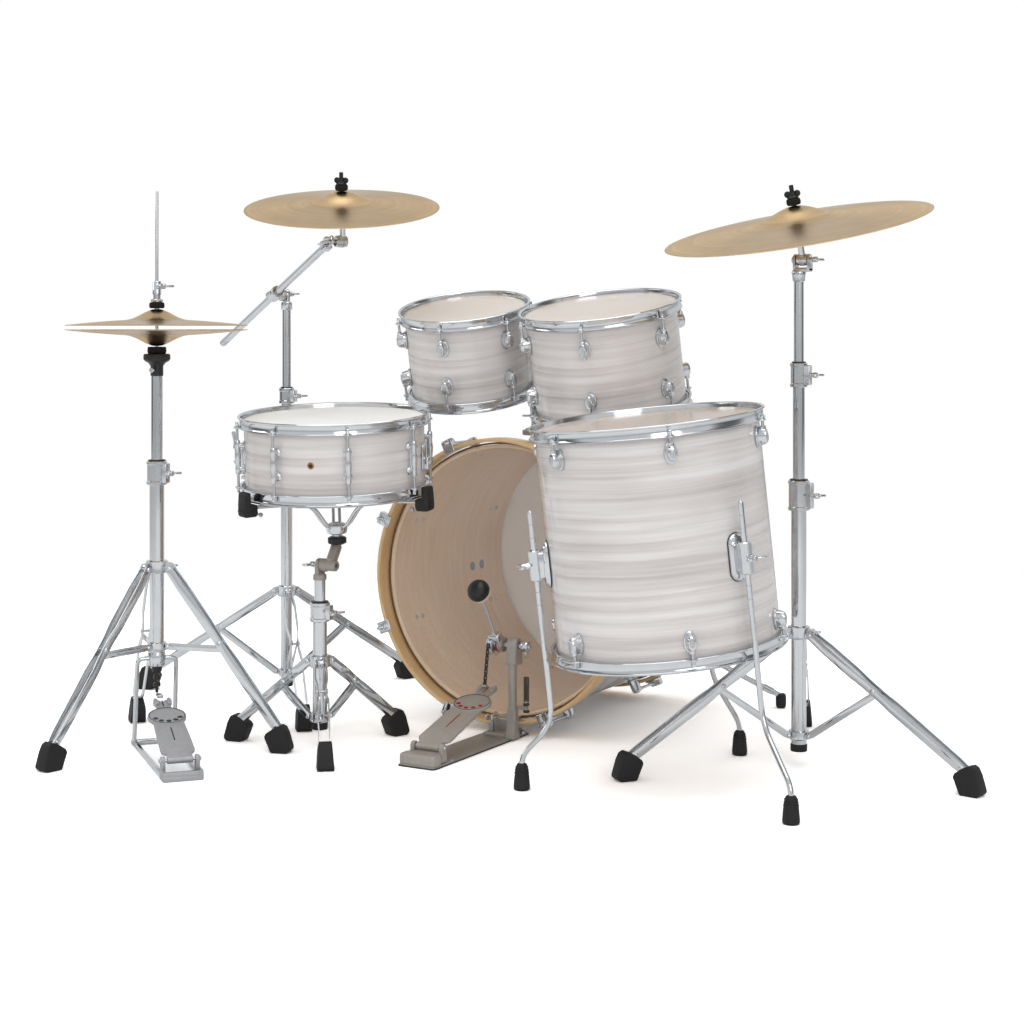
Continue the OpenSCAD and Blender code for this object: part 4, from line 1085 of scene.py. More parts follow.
# %% Bass claws, rods and lugs
def add_claw(piece, side):
    """Claw over the hoop. +X is out from the axis and +Z runs into the drum."""
    hook = [(0.4, -0.6), (-13, -0.6), (-14.2, -2.4), (-13, -4.4), (6, -5.2), (13.5, -5.6), (16.5, -3),
            (17, 5), (14, 10), (6, 12.5), (4.2, 24), (3.4, 31), (0.6, 31)]
    piece.add(stamped(hook, 25, 1.2, 3), CHROME, side @ shift(BASS_HOOP_R, 12.5, 0) @ spin(90, "X"))
    piece.add(block((3, 17, 22), 1.2), CHROME, side @ shift(BASS_HOOP_R + 4.6, 0, 17))
    piece.add(block((1.2, 23, 26), 0.5), BLACK, side @ shift(BASS_HOOP_R + 0.5, 0, 15))


def add_bass_lug(piece, side):
    down = side @ shift(BASS_R + 0.2, 0, BASS_SHELL_IN + 72) @ spin(-90) @ spin(-90, "X")
    add_oval_lug(piece, down, BASS_ROD_R - BASS_R + 6)
    add_claw(piece, side)
    rod = side @ shift(BASS_ROD_R, 0, 0)
    piece.add(round_stock(6, BASS_SHELL_IN + 74, 0.4, 20), CHROME, rod @ shift(0, 0, -9))
    piece.add(coil(5.6, 0.7, 22, 14, 12), STEEL, rod @ shift(0, 0, 70))
    piece.add(round_stock(12.5, 2.2, 0.6, 24), CHROME, rod @ shift(0, 0, -7.6))
    piece.add(round_stock(8.4, 3, 0.6, 24), CHROME, rod @ shift(0, 0, -10))
    piece.add(block((6.2, 6.2, 7), 0.8), CHROME, rod @ shift(0, 0, -13))


def make_bass_fittings():
    piece = Piece("bass_claws_and_lugs")
    for place, sign in ((BASS_PLACE, 1), (BASS_FRONT, -1)):
        for turn in BASS_LUG_TURNS:
            add_bass_lug(piece, place @ spin(sign * turn))
    piece.finish("root", "bass_fittings")


CLEAR_BASS = film("clear_bass_film", "F3EEE6", 0.10, 0.03, 0.01)
PATCH = grained("impact_patch", "6F7480", "868B96", 0.5, 2500.0, 0.0002)
RIM_BROWN = grained("anodised_rim", "7A5C2E", "9A7A44", 0.35, 1200.0, 0.0001, metal=0.7)
make_bass_shell()
make_bass_heads()
make_bass_hoop("bass_hoop_batter", BASS_PLACE)
make_bass_hoop("bass_hoop_front", BASS_FRONT)
make_bass_fittings()

# %% [markdown]
# A pair of spurs keeps the bass drum from rolling. Each is a rod on a round
# hub, which turns on a bracket and locks with a wing bolt. The brackets and
# the floor tom's castings are one group in the frame.

# %% Spurs and brackets
SPUR_ANGLE = 36
SPUR_HUB_R = BASS_R + 15.1
SPUR_TIP = Vector((411, 110, 26))
SPUR_Y = pivot("spur_left_fold").y


def spur_seat(side):
    turn = SPUR_ANGLE if side > 0 else 180 - SPUR_ANGLE
    return shift(BASS_AXIS.x, SPUR_Y, BASS_AXIS.z) @ spin(turn, "Y")


def add_spur_bracket(piece, side):
    seat = spur_seat(side) @ shift(BASS_R + 0.4, 0, 0)
    out = seat @ OUTWARD
    piece.add(stamped(pill(46, 64, 12), 1.4, 0.5), BLACK, out)
    piece.add(domed(pill(44, 62, 12), 7, 0.8, 4), CHROME, out @ shift(0, 0, 1.2))
    piece.add(turned([(0, 0), (18, 0), (17, 10), (15.6, 12.6), (0, 12.6)], 40), CHROME,
              seat @ shift(1.4, 0, 0) @ spin(90, "Y"))
    for y in (-24, 24):
        add_bolt(piece, out @ shift(0, y, 5.6), STEEL, 8, 4)


def make_spur(name, side):
    piece = Piece(name + "_leg")
    seat = spur_seat(side) @ shift(SPUR_HUB_R, 0, 0) @ spin(90, "Y")
    hub = turned([(0, 0), (15.6, 0), (17, 1.4), (17, 15), (15.4, 18), (10, 20.5), (0, 21.5)], 48)
    piece.add(hub, CHROME, seat)
    for step in range(24):
        tooth = seat @ spin(step * 15) @ shift(17, 0, 7.5)
        piece.add(block((1.6, 1.8, 12), 0.4, 1), CHROME, tooth)
    base = seat @ Vector((0, 0, 11))
    foot = Vector((BASS_AXIS.x + side * SPUR_TIP.x, SPUR_Y + SPUR_TIP.y, SPUR_TIP.z))
    piece.add(rod_between(base, foot, 12, 0.8, 32), CHROME)
    sleeve_at = aim(base.lerp(foot, 0.80), foot)
    piece.add(tube(16, 11.6, 24, 1.2), CHROME, sleeve_at)
    add_wing(piece, seat @ shift(0, 0, 18) @ spin(-90, "Y"), CHROME, 9, 30)
    tip = turned([(0, 0), (7, 0), (10.2, 2.5), (11.4, 8), (11.6, 22), (10.4, 30), (7.5, 32), (0, 32)], 32)
    piece.add(tip, RUBBER, shift(foot.x, foot.y, 0))
    piece.finish(name, name)


def make_brackets():
    piece = Piece("leg_and_spur_brackets")
    for side in (-1, 1):
        add_spur_bracket(piece, side)
    add_floor_brackets(piece)
    piece.finish("root", "leg_brackets")


make_spur("spur_left", -1)
make_spur("spur_right", 1)
make_brackets()

# %% [markdown]
# The tom holder is a casting on top of the bass shell. Its two sockets are
# split clamps: tightening the wing bolt closes them on the posts.

# %% Tom holder and posts
HOLDER_Z = BASS_AXIS.z + BASS_R + 0.5
POST_HALF_SPAN = 42
POST_D = 22
POSTS_Y = pivot("small_tom_tilt").y


def rounded_plate(w, h, corner, steps=6):
    x, y = w / 2 - corner, h / 2 - corner
    corners = ((x, y, 0), (-x, y, 90), (-x, -y, 180), (x, -y, 270))
    return [p for cx, cy, first in corners for p in arc((cx, cy), corner, first, first + 90, steps)]


def make_tom_holder():
    piece = Piece("tom_holder_casting")
    at = shift(BASS_AXIS.x, POSTS_Y, HOLDER_Z)
    piece.add(block((46, 66, 9), 2, 2), BLACK, at @ shift(0, 0, 4.5))
    piece.add(stamped(rounded_plate(144, 70, 16), 12, 3.0, 3), CAST, at @ shift(0, 0, 7))
    for side in (-1, 1):
        socket = at @ shift(side * POST_HALF_SPAN, 0, 6)
        sleeve = turned([(POST_D / 2 + 0.6, 8), (20, 8), (20.5, 12), (18, 18), (17.4, 46), (18.4, 50),
                         (18.4, 60), (17, 62.5), (POST_D / 2 + 0.6, 62.5)], 48)
        piece.add(sleeve, CAST, socket)
        piece.add(block((13, 14, 40), 2.4, 3), CAST, socket @ shift(0, -19, 42))
        add_wing(piece, socket @ shift(0, -24, 44) @ spin(-90), CHROME, 10, 32)
        piece.add(tube(30, POST_D + 0.4, 9, 1.2), CHROME, socket @ shift(0, 0, 63))
        for y in (-26, 26):
            add_bolt(piece, at @ shift(side * 58, y, 18), CHROME, 10, 5)
    piece.finish("root", "tom_holder")


def make_tom_post(name, body, joint):
    elbow = pivot(joint)
    axis = Vector(JOINTS[joint]["axis"])
    turn = math.degrees(math.atan2(axis.y, axis.x)) + 90
    piece = Piece(name + "_fork")
    low = HOLDER_Z + 9
    piece.add(tube(POST_D, POST_D - 4, elbow.z - low - 24, 0.8), CHROME, shift(elbow.x, elbow.y, low))
    top = shift(*elbow) @ spin(turn)
    collar = [(POST_D / 2 - 0.4, 0), (15, 0), (16, 2), (15, 20), (12, 24), (POST_D / 2 - 0.4, 24)]
    piece.add(turned(collar, 40), CAST, top @ shift(0, 0, -48))
    cheek = arc((0, 0), 15.4, -8, 188, 14) + [(-15.4, -24), (-11, -30), (11, -30), (15.4, -24)]
    for side in (-1, 1):
        piece.add(stamped(cheek, 6, 1.2), CAST, top @ shift(0, side * 18 + 3, 0) @ spin(90, "X"))
    piece.add(block((29, 36, 11), 2.5, 3), CAST, top @ shift(0, 0, -24.4))
    piece.add(round_stock(8, 44, 0.8, 24), STEEL, top @ shift(0, 22, 0) @ spin(90, "X"))
    add_bolt(piece, top @ shift(0, -21, 0) @ spin(90, "X"), CHROME, 14, 6)
    add_wing(piece, top @ shift(0, 20, 0) @ spin(90), CHROME, 12, 34)
    piece.finish(body, name)


make_tom_holder()
make_tom_post("tom_post_small", "small_tom_post", "small_tom_tilt")
make_tom_post("tom_post_large", "large_tom_post", "large_tom_tilt")


# %% [markdown]
# ## Snare drum
# The snare has slim bridge lugs: one tube that both rods screw into, standing
# on two posts. Under the lower head lie sixteen coiled wires between two end
# plates; the throw-off lever on the player's left drops them.

# %% Bridge lugs, strainer and butt plate
STRAINER_TURN = 200.5
SNARE_MIDDLE = -HEAD_DROP - SNARE.depth / 2


def add_bridge_lug(piece, side):
    tube_at = side @ shift(SNARE.r + ROD_OFFSET, 0, SNARE_MIDDLE)
    barrel = [(2.9, -34), (4.4, -34), (5.2, -32), (5.4, -22), (4.6, -17), (5.8, -6), (6.1, 0), (5.8, 6),
              (4.6, 17), (5.4, 22), (5.2, 32), (4.4, 34), (2.9, 34)]
    piece.add(turned(barrel, 28), CHROME, tube_at)
    for level in (-23, 23):
        post = side @ shift(SNARE.r + 0.2, 0, SNARE_MIDDLE + level) @ spin(90, "Y")
        piece.add(turned([(0, 0), (8.6, 0), (8.8, 1.2), (6.2, 3), (4.6, 6), (4.6, 12), (0, 12)], 28), CHROME,
                  post)
    web = stamped([(0, -26), (5, -30), (8.5, -24), (6.4, 0), (8.5, 24), (5, 30), (0, 26), (2.6, 0)], 4, 1)
    piece.add(web, CHROME, side @ shift(SNARE.r + 1, 2, SNARE_MIDDLE) @ spin(90, "X"))


def add_strainer(piece):
    seat = SNARE.place @ spin(STRAINER_TURN) @ shift(SNARE.r + 0.2, 0, SNARE_MIDDLE)
    out = seat @ OUTWARD
    piece.add(stamped(rounded_plate(30, 82, 7), 3.4, 1.0), CHROME, out)
    piece.add(stamped(rounded_plate(24, 44, 5), 14, 2.2, 3), CHROME, out @ shift(0, -8, 3))
    for y in (-34, 34):
        add_bolt(piece, out @ shift(0, y, 3), STEEL, 8, 3.4)
    # knob that sets the wires' tension, knurled, under the lever
    knob = seat @ shift(12, 0, -44)
    piece.add(round_stock(13, 12, 1.6, 28), CHROME, knob)
    for step in range(18):
        piece.add(block((0.8, 1.2, 8), 0.25, 1), CHROME, knob @ spin(step * 20) @ shift(6.6, 0, 6))
    piece.add(round_stock(5, 14, 0.4, 20), STEEL, seat @ shift(12, 0, -34))
    # the clamp bar that grips the wires' tape
    piece.add(block((9, 24, 7), 1.2), CHROME, seat @ shift(9, 0, -50))


def add_butt(piece):
    seat = SNARE.place @ spin(STRAINER_TURN + 180) @ shift(SNARE.r + 0.2, 0, SNARE_MIDDLE)
    out = seat @ OUTWARD
    piece.add(stamped(rounded_plate(28, 54, 6), 3.2, 1.0), CHROME, out @ shift(0, -8, 0))
    piece.add(stamped(rounded_plate(22, 26, 4), 10, 1.8, 3), CHROME, out @ shift(0, -20, 3))
    for side in (-5, 5):
        add_bolt(piece, out @ shift(side, -20, 12), STEEL, 7, 3)


def make_snare_fittings():
    piece = Piece("snare_lugs_and_rods")
    for turn in SNARE.ends[0][1]:
        add_bridge_lug(piece, SNARE.place @ spin(turn))
    for place, angles in SNARE.ends:
        for turn in angles:
            add_rod(piece, place @ spin(turn) @ shift(SNARE.r + ROD_OFFSET, 0, 0), SNARE_MIDDLE + 20)
    add_strainer(piece)
    add_butt(piece)
    piece.finish("snare", "snare_fittings")


def make_throw_lever():
    piece = Piece("throw_off_lever")
    seat = SNARE.place @ spin(STRAINER_TURN) @ shift(SNARE.r + 24, 0, SNARE_MIDDLE - 18)
    piece.add(round_stock(12, 15, 1.4, 28), CHROME, seat @ shift(0, 7.5, 0) @ spin(90, "X"))
    lever = [(-3, -2), (3, -3), (3.4, 20), (5.4, 40), (9, 56), (8, 60), (4, 59), (0, 44), (-2.6, 22)]
    piece.add(stamped(lever, 12, 1.6, 3), CHROME, seat @ shift(0, 6, 0) @ spin(90, "X"))
    piece.add(stamped(rounded_plate(9, 22, 3), 1.4, 0.6), STEEL,
              seat @ shift(4.2, 0, 36) @ spin(-8, "Y") @ OUTWARD)
    piece.finish("throw_lever", "snare_throw_lever")


# %% Snare wires
WIRES_LENGTH = 284
WIRES_WIDTH = 42
WIRE_COUNT = 16


def make_snare_wires():
    piece = Piece("snare_wires_coiled")
    level = -2 * HEAD_DROP - SNARE.depth + 8 - 1.8
    seat = SNARE.place @ spin(STRAINER_TURN) @ shift(-WIRES_LENGTH / 2, 0, level)
    strand = coil(1.5, 0.45, WIRES_LENGTH - 24, 84, 6)
    data = bpy.data.meshes.new("strand")
    strand.to_mesh(data)
    strand.free()
    gap = (WIRES_WIDTH - 4) / (WIRE_COUNT - 1)
    for number in range(WIRE_COUNT):
        copy = bmesh.new()
        copy.from_mesh(data)
        y = -(WIRES_WIDTH - 4) / 2 + number * gap
        piece.add(copy, STEEL, seat @ shift(12, y, 0) @ spin(90, "Y"))
    bpy.data.meshes.remove(data)
    for x in (7, WIRES_LENGTH - 7):
        piece.add(block((14, WIRES_WIDTH, 1.5), 0.4), BRASS, seat @ shift(x, 0, 0))
    piece.finish("snare", "snare_wires", slot="steel_wire", sharp=60)


make_shell(SNARE, SNARE.first + 247.5)
make_heads(SNARE, COATED, HAZY)
make_hoops(SNARE)
make_snare_fittings()
make_throw_lever()
make_snare_wires()

# %% [markdown]
# ## Snare basket
# Three arms reach out of a hub under the drum and end in black rubber hooks.
# A big knob under the hub closes them on the lower hoop. The whole basket
# tilts on a toothed joint at the top of the stand's tube.

# %% Basket
BASKET_Z = -2 * HEAD_DROP - SNARE.depth - 70
GRIP_FIRST = 246
GRIP_R = SNARE.r + 18
SNARE_ELBOW = pivot("snare_tilt")


def add_grip(piece, side):
    low = BASKET_Z + 44
    hook = [(-14, 4), (-10, 0), (12, 0), (15.4, 4), (15, 24), (13.4, 44), (11.6, 47.5), (2.4, 48), (0.3, 46),
            (0, 26), (-2, 23.6), (-12, 23.4), (-14, 21)]
    piece.add(stamped(hook, 27, 2.6, 3), RUBBER, side @ shift(GRIP_R, 13.5, low) @ spin(90, "X"))
    piece.add(block((6, 20, 4), 1.2), RUBBER, side @ shift(GRIP_R + 15, 0, low + 12))
    # arm: two flat strips that run from the hub and hold the rubber between them
    for y in (-6.2, 6.2):
        arm = [(12, -3), (28, 10), (50, 42), (74, 56), (GRIP_R - 30, 60), (GRIP_R - 4, 61)]
        route = [(r, y, BASKET_Z + z) for r, z in arm]
        piece.add(swept(route, 6, 26, 10), CHROME, side)
    add_bolt(piece, side @ shift(GRIP_R - 22, -8, BASKET_Z + 46) @ spin(90, "X"), STEEL, 9, 4)
    add_bolt(piece, side @ shift(GRIP_R - 22, 8, BASKET_Z + 46) @ spin(-90, "X"), STEEL, 9, 4)


def make_basket():
    piece = Piece("snare_basket_arms")
    place = SNARE.place
    hub = turned([(0, -14), (12, -14), (19, -11), (21, -4), (20, 5), (14, 9), (6, 10), (0, 10)], 48)
    piece.add(hub, CHROME, place @ shift(0, 0, BASKET_Z))
    piece.add(round_stock(15, 34, 1, 32), CHROME, place @ shift(0, 0, BASKET_Z - 46))
    knob = turned([(0, 0), (13, 0), (17, 3), (17, 12), (13, 16), (0, 16)], 40)
    piece.add(knob, BLACK, place @ shift(0, 0, BASKET_Z - 34))
    for step in range(12):
        piece.add(round_stock(5, 12, 1, 12), BLACK,
                  place @ shift(0, 0, BASKET_Z - 32) @ spin(step * 30) @ shift(16, 0, 0))
    for number in range(3):
        add_grip(piece, place @ spin(GRIP_FIRST + number * 120))
    joint_at = shift(*SNARE_ELBOW)
    disc = turned([(4.6, 0), (12, 0), (13, 1.2), (13, 12), (11, 15), (11, 34), (9, 36), (4.6, 36)], 40)
    piece.add(disc, CAST, joint_at @ shift(4.6, 0, 0) @ spin(90, "Y"))
    neck_top = place @ Vector((0, 0, BASKET_Z - 34))
    neck = aim(SNARE_ELBOW + Vector((26, 0, 4)), neck_top)
    length = (neck_top - SNARE_ELBOW - Vector((26, 0, 4))).length
    piece.add(block((18, 19, length), 4, 3), CAST, neck @ shift(0, 0, length / 2))
    piece.finish("snare", "snare_basket")


make_basket()


# %% [markdown]
# ## Stands
# Four stands share one pattern: a thick base tube, a sliding collar with
# three double-strip legs, and three double-strip braces from a lower hub. The
# strips of a leg come together at the brace's rivet and at the foot, and stand
# apart between, which is what makes the leg stiff.

# %% Stand sizes
class Stand:
    """Pole, foot radius and turn, and the heights of the leg collar and the brace hub."""

    def __init__(self, name, pole, foot_r, first, legs_z, hub_z, joint_r, joint_z, od, collar):
        self.name, self.pole = name, Vector((pole.x, pole.y, 0))
        self.foot_r, self.first, self.legs_z, self.hub_z = foot_r, first, legs_z, hub_z
        self.joint_r, self.joint_z, self.od, self.collar = joint_r, joint_z, od, collar
        self.place = shift(*self.pole)
        self.turns = [first + 120 * i for i in range(3)]


RIDE_PIVOT = pivot("ride_tilt")
BOOM_PIVOT = pivot("boom_tilt")
HATS = Stand("hihat", middle("hihat_top_cymbal"), 273, 20, 358, 200, 132, 198, 28.6, (520, 567))
CRASH = Stand("crash", BOOM_PIVOT, 366, 72.6, 240, 57, 170, 150, 25.4, (440, 480))
SNARE_STAND = Stand("snare", SNARE_ELBOW, 204, 69, 172, 61, 81, 115, 28.6, (250, 288))
RIDE = Stand("ride", RIDE_PIVOT - Vector((7.9, 0, 0)), 375, -10.5, 252.5, 58, 165, 155, 28.6, (484, 541))
STANDS = (HATS, CRASH, SNARE_STAND, RIDE)
MIDDLE_TUBE = 22.2
UPPER_TUBE = 19
FOOT_H = 40
LEG_START_R = 26       # from the pole's axis to the upper end of a leg's centre line
LEG_FOOT_GAP = 14      # from the lower end of that line to the foot radius
LEG_SPREAD = 9.2
BRACE_SPREAD = 5.2


# %% Base tubes
def add_leg_hub(piece, stand, level, reach, od):
    """Casting on the tube with a clevis for each leg or brace."""
    h = 24 if reach > 28 else 17
    ring_outline = [(stand.od / 2 - 0.4, 0), (od / 2 - 1.6, 0), (od / 2, 1.6), (od / 2 - 0.8, h / 2),
                    (od / 2, h - 1.6), (od / 2 - 1.6, h), (stand.od / 2 - 0.4, h)]
    piece.add(turned(ring_outline, 40), CHROME, stand.place @ shift(0, 0, level - h / 2))
    half = 6.3 if reach > 28 else 3.1
    for turn in stand.turns:
        ear = [(od / 2 - 3, -h / 2 + 2)] + arc((reach - 6, 0), 8 if half > 4 else 6.4, -90, 90, 10) + \
              [(od / 2 - 3, h / 2 - 2)]
        piece.add(stamped(ear, 2 * half, 1.2), CHROME,
                  stand.place @ shift(0, 0, level) @ spin(turn) @ shift(0, half, 0) @ spin(90, "X"))


def make_base_tube(stand, bottom, inner, *extras):
    piece = Piece(stand.name + "_base")
    top = stand.collar[1]
    piece.add(tube(stand.od, inner + 1, top - bottom - 1, 0.8, 56), CHROME,
              stand.place @ shift(0, 0, bottom))
    add_leg_hub(piece, stand, stand.legs_z, 32, stand.od + 14)
    add_leg_hub(piece, stand, stand.hub_z, 26, stand.od + 10)
    add_wing(piece, stand.place @ shift(0, 0, stand.legs_z) @ spin(stand.first + 60) @ shift(19, 0, 0),
             CHROME, 11, 30)
    piece.add(tube(stand.od + 3, stand.od - 1, 9, 1.2), BLACK, stand.place @ shift(0, 0, top - 1.4 - 9))
    add_collar(piece, stand.place, stand.collar[0], top, stand.od + 12, stand.od - 1, CHROME)
    piece.add(tube(stand.od + 6, inner + 1, 3, 0.8), BLACK, stand.place @ shift(0, 0, top - 0.4))
    if bottom < 60:
        cap = [(inner / 2, -3), (stand.od / 2 + 0.8, -3), (stand.od / 2 + 1.6, -1),
               (stand.od / 2 + 1.6, 10), (stand.od / 2 + 0.2, 11), (inner / 2, 11)]
        piece.add(turned(cap, 40), RUBBER, stand.place @ shift(0, 0, bottom))
    for extra in extras:
        extra(piece, stand)
    piece.finish("root", stand.name + "_base_tube")


def add_crash_extension(piece, stand):
    """Second tube of the boom stand, with its own collar."""
    low, high = stand.collar[0] - 40, 695
    piece.add(tube(MIDDLE_TUBE, UPPER_TUBE + 1, high - low - 1, 0.6, 48), CHROME,
              stand.place @ shift(0, 0, low))
    add_collar(piece, stand.place, 660, high, MIDDLE_TUBE + 12, MIDDLE_TUBE - 1, CHROME)
    piece.add(tube(MIDDLE_TUBE + 5, UPPER_TUBE + 1, 3, 0.8), BLACK, stand.place @ shift(0, 0, high - 0.4))


make_base_tube(HATS, 168, MIDDLE_TUBE)
make_base_tube(CRASH, 30, MIDDLE_TUBE, add_crash_extension)
make_base_tube(SNARE_STAND, 40, MIDDLE_TUBE)
make_base_tube(RIDE, 30, MIDDLE_TUBE)

# %% [markdown]
# ## Legs, braces and boots
# A strip is a flat bar that is bent sideways in a few places. It is drawn here
# as a row of stations along the leg; each station is a small rectangle, and
# neighbouring rectangles are bridged into one solid bar.

# %% Bent strips
def strip(stations, width, thick, edge=0.5):
    """Flat bar through stations (centre, across): `across` is the way its face looks."""
    shape = bmesh.new()
    loops = []
    for number, (centre, face) in enumerate(stations):
        before = stations[max(number - 1, 0)][0]
        after = stations[min(number + 1, len(stations) - 1)][0]
        up = (after - before).normalized().cross(face).normalized()
        corners = [centre + face * thick / 2 * a + up * width / 2 * b
                   for a, b in ((1, 1), (-1, 1), (-1, -1), (1, -1))]
        verts = [shape.verts.new(corner) for corner in corners]
        loops.append([shape.edges.new((verts[i], verts[(i + 1) % 4])) for i in range(4)])
    bmesh.ops.contextual_create(shape, geom=loops[0])
    bmesh.ops.contextual_create(shape, geom=loops[-1])
    for first, second in zip(loops, loops[1:]):
        bmesh.ops.bridge_loops(shape, edges=first + second)
    bmesh.ops.recalc_face_normals(shape, faces=shape.faces)
    return softened(shape, edge, 2, 50)


def leg_line(stand, turn):
    """Across direction, start and end of a leg's centre line."""
    out = Vector((math.cos(math.radians(turn)), math.sin(math.radians(turn)), 0))
    across = Vector((-out.y, out.x, 0))
    start = stand.pole + out * LEG_START_R + Vector((0, 0, stand.legs_z - 2))
    end = stand.pole + out * (stand.foot_r - LEG_FOOT_GAP) + Vector((0, 0, FOOT_H - 8))
    return across, start, end


def add_leg(piece, stand, turn):
    across, start, end = leg_line(stand, turn)
    down = (end - start).normalized()
    head, tail = start - down * 6, end + down * 2
    rivet = (stand.joint_r - LEG_START_R) / (stand.foot_r - LEG_FOOT_GAP - LEG_START_R)
    # sideways distance of each strip from the centre line, along the leg
    bends = ((0.0, 8.2), (0.05, 8.2), (0.12, LEG_SPREAD + 2.4), (rivet - 0.12, LEG_SPREAD + 2.4),
             (rivet - 0.05, 8.0), (rivet + 0.05, 8.0), (rivet + 0.12, LEG_SPREAD + 2.2),
             (0.90, LEG_SPREAD + 0.6), (0.96, 6.4), (1.0, 6.0))
    for side in (-1, 1):
        stations = [(head.lerp(tail, share) + across * side * offset, across) for share, offset in bends]
        piece.add(strip(stations, 16, 2.4), CHROME)
    crossings = ((0.02, 8.2), (rivet, 8.0), (0.93, 6.0))
    for share, reach in crossings:
        centre = head.lerp(tail, share)
        for side in (-1, 1):
            at = aim(centre + across * side * (reach + 1), centre + across * side * 40)
            add_bolt(piece, at, CHROME, 9.5, 3.2)
        piece.add(rod_between(centre - across * reach, centre + across * reach, 5, 0.2, 16), STEEL)


def add_brace(piece, stand, turn):
    out = Vector((math.cos(math.radians(turn)), math.sin(math.radians(turn)), 0))
    across = Vector((-out.y, out.x, 0))
    start = stand.pole + out * 23.5 + Vector((0, 0, stand.hub_z))
    joint = stand.pole + out * stand.joint_r + Vector((0, 0, stand.joint_z))
    for side in (-1, 1):
        stations = [(start.lerp(joint, share) + across * side * BRACE_SPREAD, across)
                    for share in (0.0, 0.5, 1.03)]
        piece.add(strip(stations, 12, 2.2), CHROME)
        add_bolt(piece, aim(start + across * side * (BRACE_SPREAD + 1), start + across * side * 40), CHROME,
                 8, 2.6)


def make_legs():
    for kind, add_strips in (("leg", add_leg), ("brace", add_brace)):
        piece = Piece(f"tripod_{kind}_strips")
        for stand in STANDS:
            for turn in stand.turns:
                add_strips(piece, stand, turn)
        piece.finish("root", f"tripod_{kind}s")


# %% Rubber boots
def boot():
    """Wedge-shaped boot: its sole is flat and its neck leans along the leg."""
    outline = [(-17, 2), (-14, 0), (13, 0), (19, 4.5), (19.5, 9), (13, FOOT_H - 6), (8, FOOT_H + 5),
               (1, FOOT_H + 9), (-10, FOOT_H + 5), (-26, FOOT_H - 6), (-29, FOOT_H - 12)]
    shape = stamped(outline, 30, 5.5, 4)
    bmesh.ops.transform(shape, matrix=shift(0, 15, 0) @ spin(90, "X"), verts=shape.verts)
    for vert in shape.verts:
        # the neck is narrower than the sole
        vert.co.y *= 1 - 0.22 * max(0, vert.co.z) / FOOT_H
    bmesh.ops.scale(shape, vec=(1.1, 1.1, 1.1), verts=shape.verts)
    return shape


def make_boots():
    piece = Piece("rubber_boots")
    for stand in STANDS:
        for turn in stand.turns:
            seat = stand.place @ spin(turn) @ shift(stand.foot_r - 17, 0, 0)
            piece.add(boot(), RUBBER, seat)
            for side in (-1, 1):
                panel = seat @ shift(-4, side * 13.1, 17) @ spin(-32, "Y") @ spin(90 * -side, "X")
                piece.add(domed(oval(26, 13, 20), 0.9, 0.8, 2), RUBBER, panel)
    piece.finish("root", "rubber_feet", slot="rubber")


make_legs()
make_boots()

# %% [markdown]
# ## Upper tubes
# Each tube slides in the one below. The ride stand has two, the boom stand
# one, and the snare stand a short one that ends in the basket's joint.

# %% Sliding tubes
def make_ride_tubes():
    piece = Piece("ride_middle")
    piece.add(tube(MIDDLE_TUBE, UPPER_TUBE + 1, 763 - 380, 0.6, 48), CHROME, RIDE.place @ shift(0, 0, 380))
    add_collar(piece, RIDE.place, 718, 764, MIDDLE_TUBE + 11, MIDDLE_TUBE - 1, CHROME)
    piece.add(tube(MIDDLE_TUBE + 5, UPPER_TUBE + 1, 3, 0.8), BLACK, RIDE.place @ shift(0, 0, 763.6))
    piece.finish("ride_middle", "ride_middle_tube")
    piece = Piece("ride_upper_and_fork")
    top = 936
    piece.add(round_stock(UPPER_TUBE, top - 600, 0.8, 48), CHROME, RIDE.place @ shift(0, 0, 600))
    neck = turned([(9.4, -18), (11.6, -16), (12.4, -6), (14, 0), (12, 5), (0, 6), (0, -18)], 40)
    piece.add(neck, CHROME, RIDE.place @ shift(0, 0, top))
    at = shift(*RIDE_PIVOT)
    cheek = arc((0, 0), 11, -12, 192, 12) + [(-10.5, -18), (-7, -22.5), (7, -22.5), (10.5, -18)]
    for side in (-1, 1):
        piece.add(stamped(cheek, 5, 1.2), CHROME, at @ shift(side * 14 - 2.5, 0, 0) @ OUTWARD)
    piece.add(block((33, 20, 8), 2.2, 3), CHROME, at @ shift(0, 0, -19))
    piece.add(round_stock(8, 36, 0.8, 24), STEEL, at @ shift(-18, 0, 0) @ spin(90, "Y"))
    add_bolt(piece, at @ shift(-16.4, 0, 0) @ spin(-90, "Y"), CHROME, 15, 5)
    add_wing(piece, at @ shift(16, 0, 0), CHROME, 11, 34)
    piece.finish("ride_upper", "ride_upper_tube")


def make_crash_tube():
    piece = Piece("crash_upper_and_ear")
    top = 884
    piece.add(round_stock(UPPER_TUBE, top - 520, 0.8, 48), CHROME, CRASH.place @ shift(0, 0, 520))
    piece.add(turned([(0, -14), (11, -14), (12.4, -12), (12.4, 2), (10.5, 4.4), (0, 4.4)], 40), CHROME,
              CRASH.place @ shift(0, 0, top))
    ear = arc((0, 0), 11.5, 0, 180, 12) + [(-10.5, -22.5), (10.5, -22.5)]
    at = shift(*BOOM_PIVOT) @ spin(BOOM_AZIMUTH)
    piece.add(stamped(ear, 8, 1.4), CHROME, at @ shift(0, 4, 0) @ spin(90, "X"))
    piece.add(round_stock(8, 25, 0.8, 24), STEEL, at @ shift(0, 7, 0) @ spin(90, "X"))
    add_wing(piece, at @ shift(0, 4, 0) @ spin(90), CHROME, 10, 34)
    piece.finish("crash_post", "crash_upper_tube")


